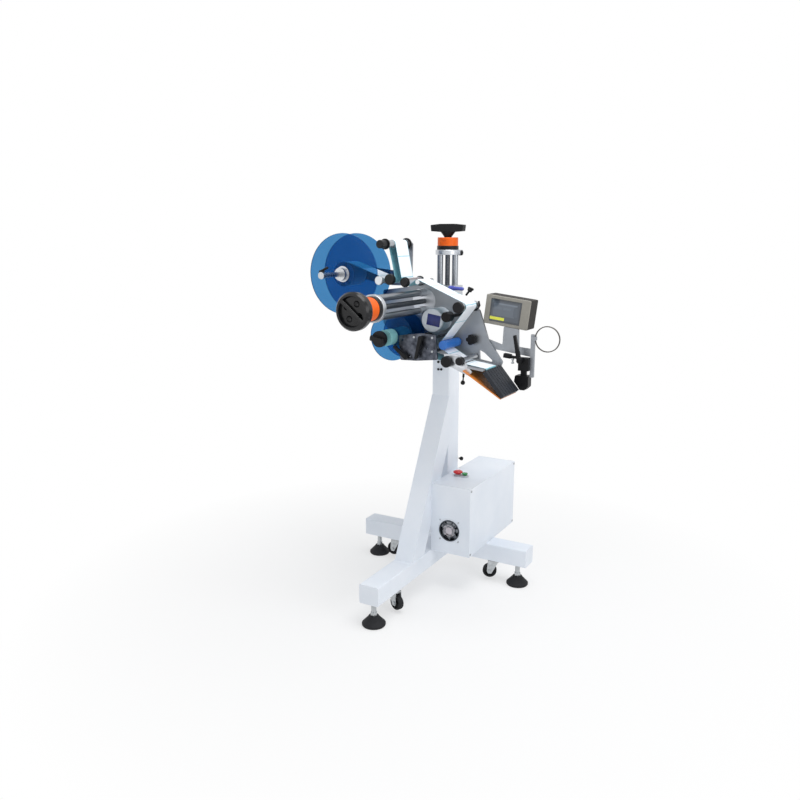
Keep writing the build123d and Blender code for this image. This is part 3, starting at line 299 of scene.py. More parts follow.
# %% Two looks in one node
def two_looks(name, first, second, build_mask):
    """A finish that is first where the mask is 0 and second where it is 1."""
    finish, shader, place = start_finish(name, Specular_IOR_Level=0.25)
    mask = build_mask(finish, place)
    cloud = add(finish, "ShaderNodeTexNoise", {"Scale": per_mm(14), "Detail": 3.0}, {"Vector": place})
    tones = []
    for look in (first, second):
        ramp = add(finish, "ShaderNodeValToRGB", links={"Fac": cloud.outputs["Fac"]})
        ramp.color_ramp.elements[0].color = linear(look["dark"])
        ramp.color_ramp.elements[1].color = linear(look["light"])
        tones.append(ramp.outputs["Color"])
    colour = add(finish, "ShaderNodeMix", data_type="RGBA")
    for source, socket in ((mask, 0), (tones[0], 6), (tones[1], 7)):
        finish.node_tree.links.new(source, colour.inputs[socket])
    join(finish, colour.outputs[2], shader, "Base Color")
    for socket, key in (("Metallic", "metallic"), ("Roughness", "rough")):
        level = add(finish, "ShaderNodeMapRange", {"To Min": first[key], "To Max": second[key]},
                    {"Value": mask})
        join(finish, level.outputs["Result"], shader, socket)
    grain = add(finish, "ShaderNodeTexNoise", {"Scale": per_mm(0.9), "Detail": 2.0}, {"Vector": place})
    lift = add(finish, "ShaderNodeBump", {"Strength": 0.12, "Distance": 0.0002},
               {"Height": grain.outputs["Fac"]})
    join(finish, lift.outputs["Normal"], shader, "Normal")
    return finish


SLEEVE = {"light": "#B9BDC2", "dark": "#A5A9AE", "metallic": 1.0, "rough": 0.3}
BLACK = {"light": "#141518", "dark": "#0C0D0F", "metallic": 0.0, "rough": 0.42}
RUBBER = {"light": "#27282B", "dark": "#1B1C1E", "metallic": 0.0, "rough": 0.68}
ZINC = {"light": "#C3C6C8", "dark": "#A9ADB0", "metallic": 1.0, "rough": 0.3}
ORANGE = {"light": "#EE6A1B", "dark": "#E05A10", "metallic": 0.0, "rough": 0.4}
TEAL = {"light": "#8CC4C6", "dark": "#7BB5B8", "metallic": 0.0, "rough": 0.45}


def beyond(finish, place, axis, edge, sign):
    """1 where the coordinate is past the edge, towards sign."""
    split = add(finish, "ShaderNodeSeparateXYZ", links={"Vector": place})
    kind = "GREATER_THAN" if sign > 0 else "LESS_THAN"
    return add(finish, "ShaderNodeMath", {1: edge}, {0: split.outputs[axis]}, operation=kind).outputs[0]


def off_axis(finish, place, centre, reach):
    """1 where a point is further than reach from an axis along Y."""
    home = add(finish, "ShaderNodeMapping",
               {"Location": (-centre.x, 0.0, -centre.z)}, {"Vector": place})
    flat = add(finish, "ShaderNodeVectorMath", {1: (1.0, 0.0, 1.0)},
               {0: home.outputs["Vector"]}, operation="MULTIPLY")
    far = add(finish, "ShaderNodeVectorMath", links={0: flat.outputs["Vector"]}, operation="LENGTH")
    return add(finish, "ShaderNodeMath", {1: reach}, {0: far.outputs["Value"]},
               operation="GREATER_THAN").outputs[0]


def either(finish, first, second):
    """1 where either mask is 1."""
    return add(finish, "ShaderNodeMath", links={0: first, 1: second}, operation="MAXIMUM").outputs[0]


# %% Feet and indicators
PAD_TOP = 40.2
CASE_BASE = 0.016


def foot_mask(finish, place):
    return beyond(finish, place, "Z", at(0, 0, PAD_TOP).z, 1)


foot_finish = two_looks("rubber_pad_on_zinc_stud", RUBBER, ZINC, foot_mask)
wear(foot_finish, "foot_left", "foot_right", "foot_front")


def lift_case_mask(finish, place):
    return beyond(finish, place, "Z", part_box("lift_indicator")[0].z + CASE_BASE, 1)


def cross_case_mask(finish, place):
    return beyond(finish, place, "Y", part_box("cross_indicator")[1].y - CASE_BASE, -1)


wear(two_looks("orange_case_on_black_base", BLACK, ORANGE, lift_case_mask), "lift_indicator")
wear(two_looks("orange_case_on_black_ring", BLACK, ORANGE, cross_case_mask), "cross_indicator")
print("pads end at", PAD_TOP, "mm, indicator bases are", CASE_BASE * 1000, "mm deep")

# %% Rollers
# sleeve radius and the Y where the black cap starts, in millimetres
ROLLERS = {
    "roller_reel_out": (14.0, -353.0),
    "roller_top": (14.5, -397.0),
    "roller_turn": (15.0, -351.0),
    "roller_corner": (15.0, -371.0),
    "roller_peel": (10.0, -357.0),
}
COLLAR_GAP = 0.4
for name, (radius, cap) in ROLLERS.items():
    axis = middle(name)

    def roller_mask(finish, place, axis=axis, radius=radius, cap=cap):
        collars = off_axis(finish, place, axis, (radius + COLLAR_GAP) / 1000)
        return either(finish, collars, beyond(finish, place, "Y", at(0, cap, 0).y, -1))

    wear(two_looks(name + "_finish", SLEEVE, BLACK, roller_mask), name)
print("rollers:", len(ROLLERS))


# %% Rewind core, screws, panel case and fan guard
KNOB_START = -402
COLUMN_SCREWS = 900
FRONT_DEPTH = 0.004
HUB_REACH = 0.027


def mandrel_mask(finish, place):
    return beyond(finish, place, "Y", at(0, KNOB_START, 0).y, -1)


wear(two_looks("liner_roll_and_knob", TEAL, BLACK, mandrel_mask), "rewind_core")


def screw_mask(finish, place):
    return beyond(finish, place, "Z", at(0, 0, COLUMN_SCREWS).z, 1)


wear(two_looks("zinc_and_black_screws", ZINC, BLACK, screw_mask), "frame_screws")

# The panel is a grey enamelled front on a dark bronze back shell.
ENAMEL = {"light": "#9A978F", "dark": "#8B8880", "metallic": 0.0, "rough": 0.42}
BRONZE = {"light": "#1C1712", "dark": "#130F0B", "metallic": 0.0, "rough": 0.6}


def back_shell_mask(finish, place):
    return beyond(finish, place, "Y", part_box("hmi_case")[0].y + FRONT_DEPTH, 1)


wear(two_looks("enamelled_front_bronze_back", ENAMEL, BRONZE, back_shell_mask), "hmi_case")

# The fan guard is pressed wire: dark outer rings, pale ones over the hub.
DARK_WIRE = {"light": "#3E444C", "dark": "#33383F", "metallic": 0.0, "rough": 0.4}
PALE_WIRE = {"light": "#C9C2C7", "dark": "#B4B0B6", "metallic": 0.0, "rough": 0.4}


def hub_mask(finish, place):
    near_hub = off_axis(finish, place, middle("fan_guard"), HUB_REACH)
    return add(finish, "ShaderNodeMath", {0: 1.0}, {1: near_hub}, operation="SUBTRACT").outputs[0]


wear(two_looks("painted_guard_wire", DARK_WIRE, PALE_WIRE, hub_mask), "fan_guard")
print("two-look finishes:", 7 + len(ROLLERS))

# %% [markdown]
# ## Touch screen
# The operator panel has a plain glass touch screen. Its picture is left generic: a
# grey page with a few paler fields and one yellow status strip, with no words. An image
# would need a file, so each field is worked out in the material: two Compare nodes say
# whether a point lies in a rectangle, measured from the middle of the glass.

# %% Screen
screen, shader, place = start_finish("touch_screen_glass", IOR=1.52, Roughness=0.12,
                                     Coat_Weight=0.6, Coat_Roughness=0.03)
PANEL_TURN = radians(7.0)
face = middle("hmi_screen")
page = add(screen, "ShaderNodeMapping", {"Location": tuple(-face)}, {"Vector": place},
           vector_type="POINT")
level = add(screen, "ShaderNodeMapping", {"Rotation": (0.0, -PANEL_TURN, 0.0), "Scale": (1000.0,) * 3},
            {"Vector": page.outputs["Vector"]})
axes = add(screen, "ShaderNodeSeparateXYZ", links={"Vector": level.outputs["Vector"]})


def field(x, z, wide, high):
    """1 inside one rectangle of the page, given in millimetres from its middle."""
    across = add(screen, "ShaderNodeMath", {1: x, 2: wide / 2}, {0: axes.outputs["X"]},
                 operation="COMPARE")
    up = add(screen, "ShaderNodeMath", {1: z, 2: high / 2}, {0: axes.outputs["Z"]},
             operation="COMPARE")
    return add(screen, "ShaderNodeMath", links={0: across.outputs[0], 1: up.outputs[0]},
               operation="MULTIPLY").outputs[0]


# %% Screen fields
# middle x, middle z, width, height and colour of each field
FIELDS = (
    (0, 0, 110, 70, "#4B535D"),
    (-6, 4, 86, 46, "#5C6570"),
    (8, 26, 74, 6, "#6F7883"),
    (-30, 10, 26, 9, "#626C77"),
    (6, 10, 30, 9, "#626C77"),
    (-30, -6, 26, 9, "#5C6671"),
    (6, -6, 30, 9, "#5C6671"),
    (40, 2, 16, 34, "#515A65"),
    (-30, -30, 58, 11, "#E3E63C"),
)
below = add(screen, "ShaderNodeRGB")
below.outputs[0].default_value = linear("#3A4048")
under = below.outputs[0]
for x, z, wide, high, code in FIELDS:
    layer = add(screen, "ShaderNodeMix", {7: linear(code)}, data_type="RGBA")
    screen.node_tree.links.new(field(x, z, wide, high), layer.inputs[0])
    screen.node_tree.links.new(under, layer.inputs[6])
    under = layer.outputs[2]
join(screen, under, shader, "Base Color")
wear(screen, "hmi_screen")
print("screen fields:", len(FIELDS))

# %% [markdown]
# ## The label web
# The web is a glassine liner, pale teal and waxy, with white paper labels on its
# outer side. It leaves the supply roll, winds round the rollers and turns sharply at
# the peel edge, where the labels come off, so the way back to the rewind reel is bare
# liner. A cloth simulation would only blur it: under tension a web is flat between its
# rollers, so its line is made of tangents and arcs worked out from the rollers' places.

# %% Stations of the web
WEB_HALF = 0.0465
SKIN = 0.0008
BAR_RADIUS = 9
EDGE_RADIUS = 4


def station(node, radius, side, x=0.0, z=0.0):
    """Centre and signed radius that the web keeps round one roller."""
    home = middle(node) if node else at(x, 0, z)
    return (home.x, home.z, side * (radius / 1000 + SKIN))


# node, radius in millimetres, and 1 where the web passes over it or -1 where under
STATIONS = [
    station("unwind_core", 48, 1),
    station("roller_reel_in", 12, 1),
    station("roller_reel_out", 14, -1),
    station("roller_top", 14.5, 1),
    station("roller_turn", 15, -1),
    station(None, BAR_RADIUS, 1, 34, 1286),
    station("roller_corner", 15, 1),
    station("drive_roller", 17, -1),
    station("roller_peel", 10, -1),
    station(None, EDGE_RADIUS, 1, 318, 976),
    station(None, BAR_RADIUS, 1, 176, 999),
    station("rewind_core", 31, 1),
]
TIP = 9
RUN_STEP = 0.012
ARC_STEP = radians(9)
print("stations:", len(STATIONS), "of which the peel edge is number", TIP + 1)


# %% Tangents and arcs
def touch(a, b):
    """Where a tight web leaves roller a and meets roller b."""
    run = hypot(b[0] - a[0], b[1] - a[1])
    turn = atan2(b[1] - a[1], b[0] - a[0])
    lean = (a[2] - b[2]) / run
    side = (1 - lean * lean) ** 0.5
    nx = lean * cos(turn) - side * sin(turn)
    nz = lean * sin(turn) + side * cos(turn)
    return (a[0] + a[2] * nx, a[1] + a[2] * nz), (b[0] + b[2] * nx, b[1] + b[2] * nz)


def web_path():
    """Points down the web, and the index where its arc round the peel edge starts."""
    runs = [touch(a, b) for a, b in zip(STATIONS, STATIONS[1:])]
    points = []
    tip_at = 0
    for i, (start, end) in enumerate(runs):
        length = hypot(end[0] - start[0], end[1] - start[1])
        steps = max(2, ceil(length / RUN_STEP))
        for k in range(steps + 1):
            t = k / steps
            points.append((start[0] + t * (end[0] - start[0]), start[1] + t * (end[1] - start[1])))
        if i + 1 < len(runs):
            cx, cz, r = STATIONS[i + 1]
            a0 = atan2(end[1] - cz, end[0] - cx)
            a1 = atan2(runs[i + 1][0][1] - cz, runs[i + 1][0][0] - cx)
            while r > 0 and a1 > a0:
                a1 -= 2 * pi
            while r < 0 and a1 < a0:
                a1 += 2 * pi
            turns = max(2, ceil(abs(a1 - a0) / ARC_STEP))
            if i + 1 == TIP:
                tip_at = len(points)
            for k in range(1, turns):
                a = a0 + (a1 - a0) * k / turns
                points.append((cx + abs(r) * cos(a), cz + abs(r) * sin(a)))
    return points, tip_at


web_points, tip_at = web_path()


# %% A strip that follows the web
def side_of(points, i):
    """Unit direction of the web's outer side at one point."""
    a = points[max(i - 1, 0)]
    b = points[min(i + 1, len(points) - 1)]
    length = hypot(b[0] - a[0], b[1] - a[1])
    return (-(b[1] - a[1]) / length, (b[0] - a[0]) / length)


def strip(name, points, half, lift, thick, y_mid):
    """A closed thin strip along points, lifted off them to its outer side."""
    mesh = bmesh.new()
    rows = []
    for i, (x, z) in enumerate(points):
        nx, nz = side_of(points, i)
        row = []
        for reach in (lift, lift + thick):
            for y in (y_mid - half, y_mid + half):
                row.append(mesh.verts.new((x + nx * reach, y, z + nz * reach)))
        rows.append(row)
    for a, b in zip(rows, rows[1:]):
        mesh.faces.new((a[0], a[1], b[1], b[0]))
        mesh.faces.new((a[2], b[2], b[3], a[3]))
        mesh.faces.new((a[0], b[0], b[2], a[2]))
        mesh.faces.new((a[1], a[3], b[3], b[1]))
    for end in (rows[0], rows[-1]):
        mesh.faces.new((end[0], end[2], end[3], end[1]))
    bmesh.ops.recalc_face_normals(mesh, faces=mesh.faces)
    data = bpy.data.meshes.new(name)
    mesh.to_mesh(data)
    mesh.free()
    piece = bpy.data.objects.new(name, data)
    bpy.context.scene.collection.objects.link(piece)
    return piece


# %% Liner
LINER_THICK = 0.0002
web_y = middle("label_web").y
liner = strip("liner_web", web_points, WEB_HALF, -LINER_THICK / 2, LINER_THICK, web_y)
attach(liner, "head")
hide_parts("label_web")

# %% [markdown]
# ## Labels on the liner
# Blank white labels sit on the outer side of the liner, 77 mm long with 3 mm between
# them, up to the peel edge, where each one lets go. A texture could paint them on the
# liner, but they would have no edge. So each is its own thin strip, cut from the web's
# line and lifted off it by half the liner's thickness.

# %% Labels on the liner
LABEL_LONG = 0.077
LABEL_GAP = 0.003
LABEL_MARGIN = 0.002
JUST_INSIDE = 1e-6
LABEL_THICK = 0.00012


def cut(points, low, high):
    """The part of a line between two lengths along it."""
    out = []
    gone = 0.0
    for a, b in zip(points, points[1:]):
        step = hypot(b[0] - a[0], b[1] - a[1])
        for mark in (low, high):
            if gone <= mark < gone + step:
                t = (mark - gone) / step
                out.append((mark, (a[0] + t * (b[0] - a[0]), a[1] + t * (b[1] - a[1]))))
        if low < gone + step < high:
            out.append((gone + step, b))
        gone += step
    return [point for _, point in sorted(out)]


up_to_tip = web_points[:tip_at + 2]
tip_length = sum(hypot(b[0] - a[0], b[1] - a[1]) for a, b in zip(up_to_tip, up_to_tip[1:]))
labels = []
end = tip_length
while end - LABEL_LONG > 0:
    line = cut(up_to_tip, end - LABEL_LONG, end - JUST_INSIDE)
    name = "label_%02d" % (len(labels) + 1)
    labels.append(strip(name, line, WEB_HALF - LABEL_MARGIN, LINER_THICK / 2, LABEL_THICK, web_y))
    end -= LABEL_LONG + LABEL_GAP
bpy.ops.object.select_all(action="DESELECT")
for piece in labels:
    piece.select_set(True)
bpy.context.view_layer.objects.active = labels[0]
bpy.ops.object.join()
paper_labels = labels[0]
paper_labels.name = "paper_labels"
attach(paper_labels, "head")
print("labels on the web:", len(labels))

# %% [markdown]
# ## Paper and glassine
# The liner is waxed glassine, pale teal and a little shiny, and the labels are coated
# paper, white and duller. Both could be see-through, but wound and backed as here they
# hardly are, so the mottled helper gives two plain finishes that differ in gloss.

# %% Paper and glassine
glassine, shader, place = start_finish("waxed_glassine_liner", IOR=1.45)
mottled(glassine, shader, place, "#8FCAD6", "#7FBDCB", 30, 0.34, 0.44, 0.05, 1.0)
label_paper, shader, place = start_finish("coated_label_paper", IOR=1.45)
mottled(label_paper, shader, place, "#F1F5FA", "#E8EDF3", 40, 0.45, 0.55, 0.06, 0.9)
liner.data.materials.append(glassine)
paper_labels.data.materials.clear()
paper_labels.data.materials.append(label_paper)
print("paper finishes: 2")

# %% [markdown]
# ## The coiled spare cable
# The sensor's lead is longer than it needs to be, so its spare length is wound in three
# turns and clipped to the rail. It is a 3 mm PVC cable, stiff enough to stand as a
# round loop. A torus would close on itself and lose the turns, so one smooth curve runs
# round with sixteen points a turn. Each point carries the real radius and the bevel
# depth is one metre, so that the curve's own box is as small as the cable.

# %% Cable coil
COIL = at(509, -222, 1087)
CABLE = 0.003
TURNS = 3
STEPS = TURNS * 16
OVERLAP = radians(4)
RING = 0.0472
WANDER = 0.0006
PACK = 0.0092
points = []
for k in range(STEPS + 1):
    share = k / STEPS
    angle = pi + OVERLAP - share * (TURNS * 2 * pi + 2 * OVERLAP)
    reach = RING + WANDER * cos(angle + 9 * share)
    points.append((COIL.x + reach * cos(angle), COIL.y - PACK / 2 + PACK * share,
                   COIL.z + reach * sin(angle)))
line = bpy.data.curves.new("sensor_cable_coil", "CURVE")
line.dimensions = "3D"
spline = line.splines.new("NURBS")
spline.points.add(len(points) - 1)
for target, point in zip(spline.points, points):
    target.co = (*point, 1.0)
    target.radius = CABLE / 2
spline.order_u = 3
spline.use_endpoint_u = True
line.bevel_depth = 1.0
line.bevel_resolution = 4
line.resolution_u = 6
coil = bpy.data.objects.new("sensor_cable_coil", line)
bpy.context.scene.collection.objects.link(coil)
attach(coil, "head")
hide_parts("sensor_cable")
cable_jacket, shader, place = start_finish("dark_pvc_cable", IOR=1.5)
mottled(cable_jacket, shader, place, "#4A4640", "#37342F", 12, 0.4, 0.5, 0.05, 0.9)
line.materials.append(cable_jacket)
print("cable coil:", TURNS, "turns,", round(2 * RING * 1000), "mm across")

# %% [markdown]
# ## Small turned and cut fittings
# Knobs, caps, pins and screws are turned parts, and brackets and plates are cut from
# flat stock. A turned part could be spun from an open profile, but that leaves poles and
# seams to close. So it starts as one flat ring of points, and each step extrudes it along
# its axis and scales it, just as a lathe follows a profile. A cut part starts as a ring
# with one point for each corner, and is extruded once. A narrow bevel then takes off the
# sharp edges, because a real edge always catches a line of light.


# %% Selecting and finishing one piece
def in_mm(node):
    """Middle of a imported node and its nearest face, in millimetres from the crossing."""
    centre = (middle(node) - CROSSING) * 1000
    near = (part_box(node)[0].y - CROSSING.y) * 1000
    return centre.x, near, centre.z


SMOOTH_BELOW = radians(35)


def pick(piece):
    """Select this one piece and nothing else."""
    bpy.ops.object.select_all(action="DESELECT")
    piece.select_set(True)
    bpy.context.view_layer.objects.active = piece


def complete(piece, body, look, edge):
    """Bevel the edges, smooth the faces and say what carries the piece."""
    pick(piece)
    if edge:
        bevel = piece.modifiers.new("edge", "BEVEL")
        bevel.width = edge / 1000
        bevel.segments = 2
        bevel.limit_method = "ANGLE"
        bpy.ops.object.modifier_apply(modifier=bevel.name)
    bpy.ops.object.shade_smooth_by_angle(angle=SMOOTH_BELOW)
    piece.data.materials.append(look)
    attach(piece, body)
    return piece


# %% Turned pieces
def turned(name, start, toward, profile, body, look, edge=0.3, sides=36):
    """A turned piece from radius and height pairs, in millimetres along toward."""
    bpy.ops.object.select_all(action="DESELECT")
    radius, height = profile[0]
    bpy.ops.mesh.primitive_circle_add(vertices=sides, radius=radius / 1000, fill_type="NGON")
    piece = bpy.context.object
    piece.name = name
    bpy.ops.object.mode_set(mode="EDIT")
    bpy.ops.mesh.select_all(action="SELECT")
    for wide, tall in profile[1:]:
        step = (0.0, 0.0, (tall - height) / 1000)
        bpy.ops.mesh.extrude_region_move(TRANSFORM_OT_translate={"value": step})
        bpy.ops.transform.resize(value=(wide / radius, wide / radius, 1.0),
                                 center_override=(0.0, 0.0, tall / 1000))
        radius, height = wide, tall
    bpy.ops.mesh.select_all(action="SELECT")
    bpy.ops.mesh.normals_make_consistent(inside=False)
    bpy.ops.object.mode_set(mode="OBJECT")
    turn = Vector(toward).to_track_quat("Z", "Y").to_matrix().to_4x4()
    piece.matrix_world = Matrix.Translation(at(*start)) @ turn
    bpy.ops.object.transform_apply(location=True, rotation=True, scale=True)
    return complete(piece, body, look, edge)


# %% Cut plates and drilled holes
def cut_plate(name, corners, near, thick, body, look, edge=0.6, holes=()):
    """A plate with its corners in X and Z and its near face at one Y."""
    bpy.ops.object.select_all(action="DESELECT")
    # any radius will do here, because every corner is then put in its own place
    bpy.ops.mesh.primitive_circle_add(vertices=len(corners), radius=0.02, fill_type="NGON")
    piece = bpy.context.object
    piece.name = name
    for point, (x, z) in zip(piece.data.vertices, corners):
        point.co = at(x, near, z)
    bpy.ops.object.mode_set(mode="EDIT")
    bpy.ops.mesh.select_all(action="SELECT")
    bpy.ops.mesh.extrude_region_move(TRANSFORM_OT_translate={"value": (0.0, thick / 1000, 0.0)})
    bpy.ops.mesh.select_all(action="SELECT")
    bpy.ops.mesh.normals_make_consistent(inside=False)
    bpy.ops.object.mode_set(mode="OBJECT")
    for x, z, radius in holes:
        bore(piece, x, near, z, radius)
    return complete(piece, body, look, edge)


DRILL_LENGTH = 0.2
DRILL_SIDES = 40


def bore(piece, x, y, z, radius):
    """Drill a round hole along Y."""
    bpy.ops.object.select_all(action="DESELECT")
    bpy.ops.mesh.primitive_cylinder_add(vertices=DRILL_SIDES, radius=radius / 1000,
                                        depth=DRILL_LENGTH, location=at(x, y, z),
                                        rotation=(pi / 2, 0.0, 0.0))
    drill = bpy.context.object
    hole = piece.modifiers.new("hole", "BOOLEAN")
    hole.operation = "DIFFERENCE"
    hole.object = drill
    pick(piece)
    bpy.ops.object.modifier_apply(modifier=hole.name)
    bpy.data.objects.remove(drill, do_unlink=True)


NEAR_SIDE = (0.0, -1.0, 0.0)

# %% [markdown]
# ## Button heads
# The stop button is a red mushroom that a palm can hit, and the start button a low
# green cap. Both are gloss moulded plastic, snap on the plungers and go in with them.
# They could stand anywhere on the plungers, but each must still clear the bezel when it
# is pressed home, so their foot is set from the bezel's top and the button's travel.

# %% Button heads
TRAVEL = 4.0
CLEARANCE = 0.5
BEZEL_TOP = (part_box("button_bezel")[1].z - CROSSING.z) * 1000
STOP_PROFILE = ((10.5, 0), (17, 0.8), (20, 2.6), (20.6, 5), (19, 8), (15, 10.5), (8, 12), (2, 12.4))
START_PROFILE = ((10.5, 0), (12.2, 0.6), (12.4, 3.2), (11, 4.8), (7, 5.6), (2, 5.8))
for node, name, profile, body, slot, look in (
        ("stop_button", "stop_mushroom", STOP_PROFILE, "stop", "stop_red", red_button),
        ("start_button", "start_cap", START_PROFILE, "start", "start_green", green_button)):
    foot = (middle(node) - CROSSING) * 1000
    foot.z = BEZEL_TOP + TRAVEL + CLEARANCE
    turned(name, foot, (0, 0, 1), profile, body, look, edge=0)
print("button heads: 2")

# %% [markdown]
# ## Side plate of the peel unit
# The near ends of the peel unit's shafts are tied by one plate, sawn from aluminium and
# clear anodised. Its outline steps down towards the peel edge. A box with cuts would
# need many of them, so the outline is drawn corner by corner and two holes are bored,
# one with room for the turning cap and one that fits the fixed bar.

# %% Side plate of the peel unit
PEEL_SIDE = ((160, 1026), (208, 1028), (230, 1022), (246, 1001), (275, 967), (263, 951), (243, 957),
             (196, 976), (161, 985))
CAP_HOLE = (228, 1004, 16.5)
BAR_HOLE = (176, 999, 9.3)
SIDE_FACE, SIDE_THICK = -362.5, 5
cut_plate("peel_side_plate", PEEL_SIDE, SIDE_FACE, SIDE_THICK, "head", anodised_clear,
          edge=0.8, holes=(CAP_HOLE, BAR_HOLE))
print("peel side plate: corners", len(PEEL_SIDE), "holes", 2)

# %% [markdown]
# ## Plate on the motor cap
# A blue enamelled plate is riveted to the motor's cap, a little askew. It stays bare: no
# type, number or name. A thin cut plate does it, with its four corners turned in the
# drawing, so that its object needs no rotation of its own.

# %% Plate on the motor cap
x, near, z = in_mm("drive_motor")
PLATE_TURN = radians(-9)
PLATE_WIDE, PLATE_HIGH = 28, 21.5
PLATE_X, PLATE_Z = 83, 1141
PLATE_THICK = 1.0
PLATE_PROUD = 0.9
corners = []
for across, up in ((-1, -1), (1, -1), (1, 1), (-1, 1)):
    dx, dz = across * PLATE_WIDE, up * PLATE_HIGH
    corners.append((PLATE_X + dx * cos(PLATE_TURN) - dz * sin(PLATE_TURN),
                    PLATE_Z + dx * sin(PLATE_TURN) + dz * cos(PLATE_TURN)))
navy_plate = moulded("blue_enamelled_plate", "#26337F", "#1C2767", 0.3, 0.4, 1.0, 0.05)
cut_plate("motor_plate", corners, near - PLATE_PROUD, PLATE_THICK, "head", navy_plate,
          edge=0.2)
print("cap face at", round(near, 1))

# %% [markdown]
# ## Levers, T-screws and ball knobs
# Whatever is set by hand is clamped by a small lever, a T-screw or a ball knob, moulded
# in black nylon round a steel stud, apart from one violet lever. They are round about
# their own axis, so each is one turned profile, and a row of a table gives its place,
# its direction and the body that carries it.

# %% Profiles of the hand clamps
violet_nylon = moulded("violet_glass_filled_nylon", "#4A55B4", "#3C469C", 0.36, 0.46, 0.8, 0.2)
LEVER_PROFILE = ((5, 0), (8.5, 3), (9.5, 12), (8, 24), (6.5, 44), (7, 58), (5, 63))
BALL_PROFILE = ((4, 0), (4, 14), (2.6, 15), (2.6, 26), (5.5, 28), (8, 32), (8.4, 36), (7, 40.5), (3, 43))
STEM_PROFILE = ((4, 0), (4, 20), (8.5, 20.5), (9.5, 24), (9.5, 28), (7, 30.5))
CROSSBAR_PROFILE = ((2.5, 0), (4.6, 2), (5.2, 12), (4.6, 22), (2.5, 24))
KNOB_PROFILE = ((3, 0), (3, 5), (7, 7), (8.6, 11), (8.6, 15), (6.5, 18.5), (2, 20))
SCREW_PROFILE = ((4, 0), (4, 6), (9, 6.4), (10.4, 8), (10.4, 20), (8.5, 22.5), (3, 23.2))

# %% Hand clamps in place
HAND_CLAMPS = (
    ("crest_lever", (104, -217, 1259), (1, 0, -0.03), LEVER_PROFILE, "head", violet_nylon),
    ("crest_screw", (178, -217, 1234), (18, 0, 23), STEM_PROFILE, "head", black_nylon),
    ("crest_crossbar", (186, -217, 1263), (1, 0, -0.35), CROSSBAR_PROFILE, "head", black_nylon),
    ("leaf_ball_knob", (237, -352, 957), (-0.08, 0, -1), BALL_PROFILE, "head", black_nylon),
    ("column_ball_knob", (41, 36, 507), (1, 0, 0), KNOB_PROFILE, "stand", black_nylon),
    ("lift_clamp_screw", (44, -18, 1388), (1, 0, 0), SCREW_PROFILE, "stand", black_nylon),
)
for name, start, toward, profile, body, look in HAND_CLAMPS:
    turned(name, start, toward, profile, body, look)
print("hand clamps:", len(HAND_CLAMPS))

# %% [markdown]
# ## Crest bracket and sensor clamp
# The crest bracket is a small black hook on the plate's edge. The sensor hangs from a
# clamp of three pieces: a ribbed thumb block, an arm and a plated pin. They are flat on
# their sides, so the first three are cut plates with a soft bevel, and the pin is turned.

# %% Crest bracket and sensor clamp
CREST_BRACKET = ((214, 1177), (227, 1178), (238, 1197), (233, 1215), (222, 1198))
THUMB_BLOCK = ((347, 1011), (377, 1008), (377, 1024), (349, 1027))
CLAMP_ARM = ((376, 1011), (397, 1009), (397, 1018), (376, 1020))
PIN_PROFILE = ((5, 0), (5, 8), (3.2, 8.5), (3.2, 16), (6, 17), (6, 20), (4, 21.5))
cut_plate("crest_bracket", CREST_BRACKET, -227, 14, "head", black_nylon)
cut_plate("sensor_thumb_block", THUMB_BLOCK, -246, 20, "head", black_nylon,
          edge=1.5)
cut_plate("sensor_clamp_arm", CLAMP_ARM, -242, 12, "head", black_nylon)
turned("sensor_clamp_pin", (383, -236, 1011), (0, 0, -1), PIN_PROFILE, "head", zinc_plate)
print("bracket and clamp pieces: 4")

# %% [markdown]
# ## Clamp and flange of the supply spindle
# The supply reel is held on its spindle by a small boss with a tommy lever, and its near
# disc by a turned aluminium flange with four screws. The flange and its screws turn with
# the reel, and the clamp stays with the spindle, so they ride on different bodies. Both
# are turned profiles, and the flange is bored out for the spindle. It is drawn round the
# spindle's own collar, which stays still, so its nose and the inner half of each screw
# pass through that collar as the reel turns. A later version should shorten the collar.

# %% Clamp of the supply spindle
BOSS_PROFILE = ((6, 0), (6, 5), (4.5, 6), (4.5, 10))
TOMMY_PROFILE = ((3, 0), (4.4, 2), (4, 22), (5.2, 30), (4.6, 42), (2.6, 45))
CLAMP_BACK = 16
x, near, z = in_mm("unwind_discs")
spindle_end = (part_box("roller_shafts")[0].y - CROSSING.y) * 1000
turned("spindle_clamp_boss", (x, spindle_end + CLAMP_BACK, z + 8), (0, 0, 1), BOSS_PROFILE, "head",
       black_nylon)
turned("spindle_clamp_lever", (x - 19, spindle_end + CLAMP_BACK, z + 13), (1, 0, 0.42), TOMMY_PROFILE,
       "head", black_nylon)
print("disc face at", round(near, 1), "spindle end at", round(spindle_end, 1))

# %% Flange of the supply reel
FLANGE_PROFILE = ((31, 0), (31, 4), (19, 4.5), (19, 15), (16, 17))
FLANGE_FACE = 4
FLANGE_BORE = 12.5
HUB_SCREW_PROFILE = ((3.4, 0), (3.4, 2.6), (1.6, 2.6), (1.6, 1.2))
HUB_SCREWS = 4
HUB_PITCH = 25
flange = turned("reel_hub_flange", (x, near, z), NEAR_SIDE, FLANGE_PROFILE, "unwind_reel",
                anodised_clear, edge=0)
bore(flange, x, near, z, FLANGE_BORE)
for k in range(HUB_SCREWS):
    angle = radians(45 + 360 / HUB_SCREWS * k)
    place = (x + HUB_PITCH * cos(angle), near - FLANGE_FACE, z + HUB_PITCH * sin(angle))
    turned("hub_screw_%d" % (k + 1), place, NEAR_SIDE, HUB_SCREW_PROFILE, "unwind_reel",
           zinc_plate, edge=0, sides=16)
print("hub screws:", HUB_SCREWS)

# %% [markdown]
# ## Cap screws on the cheek plate
# Four socket cap screws hold the cheek plate to its posts. A screw this small shows only
# its head, so the head is one short turned profile whose last step goes back in for the
# socket.

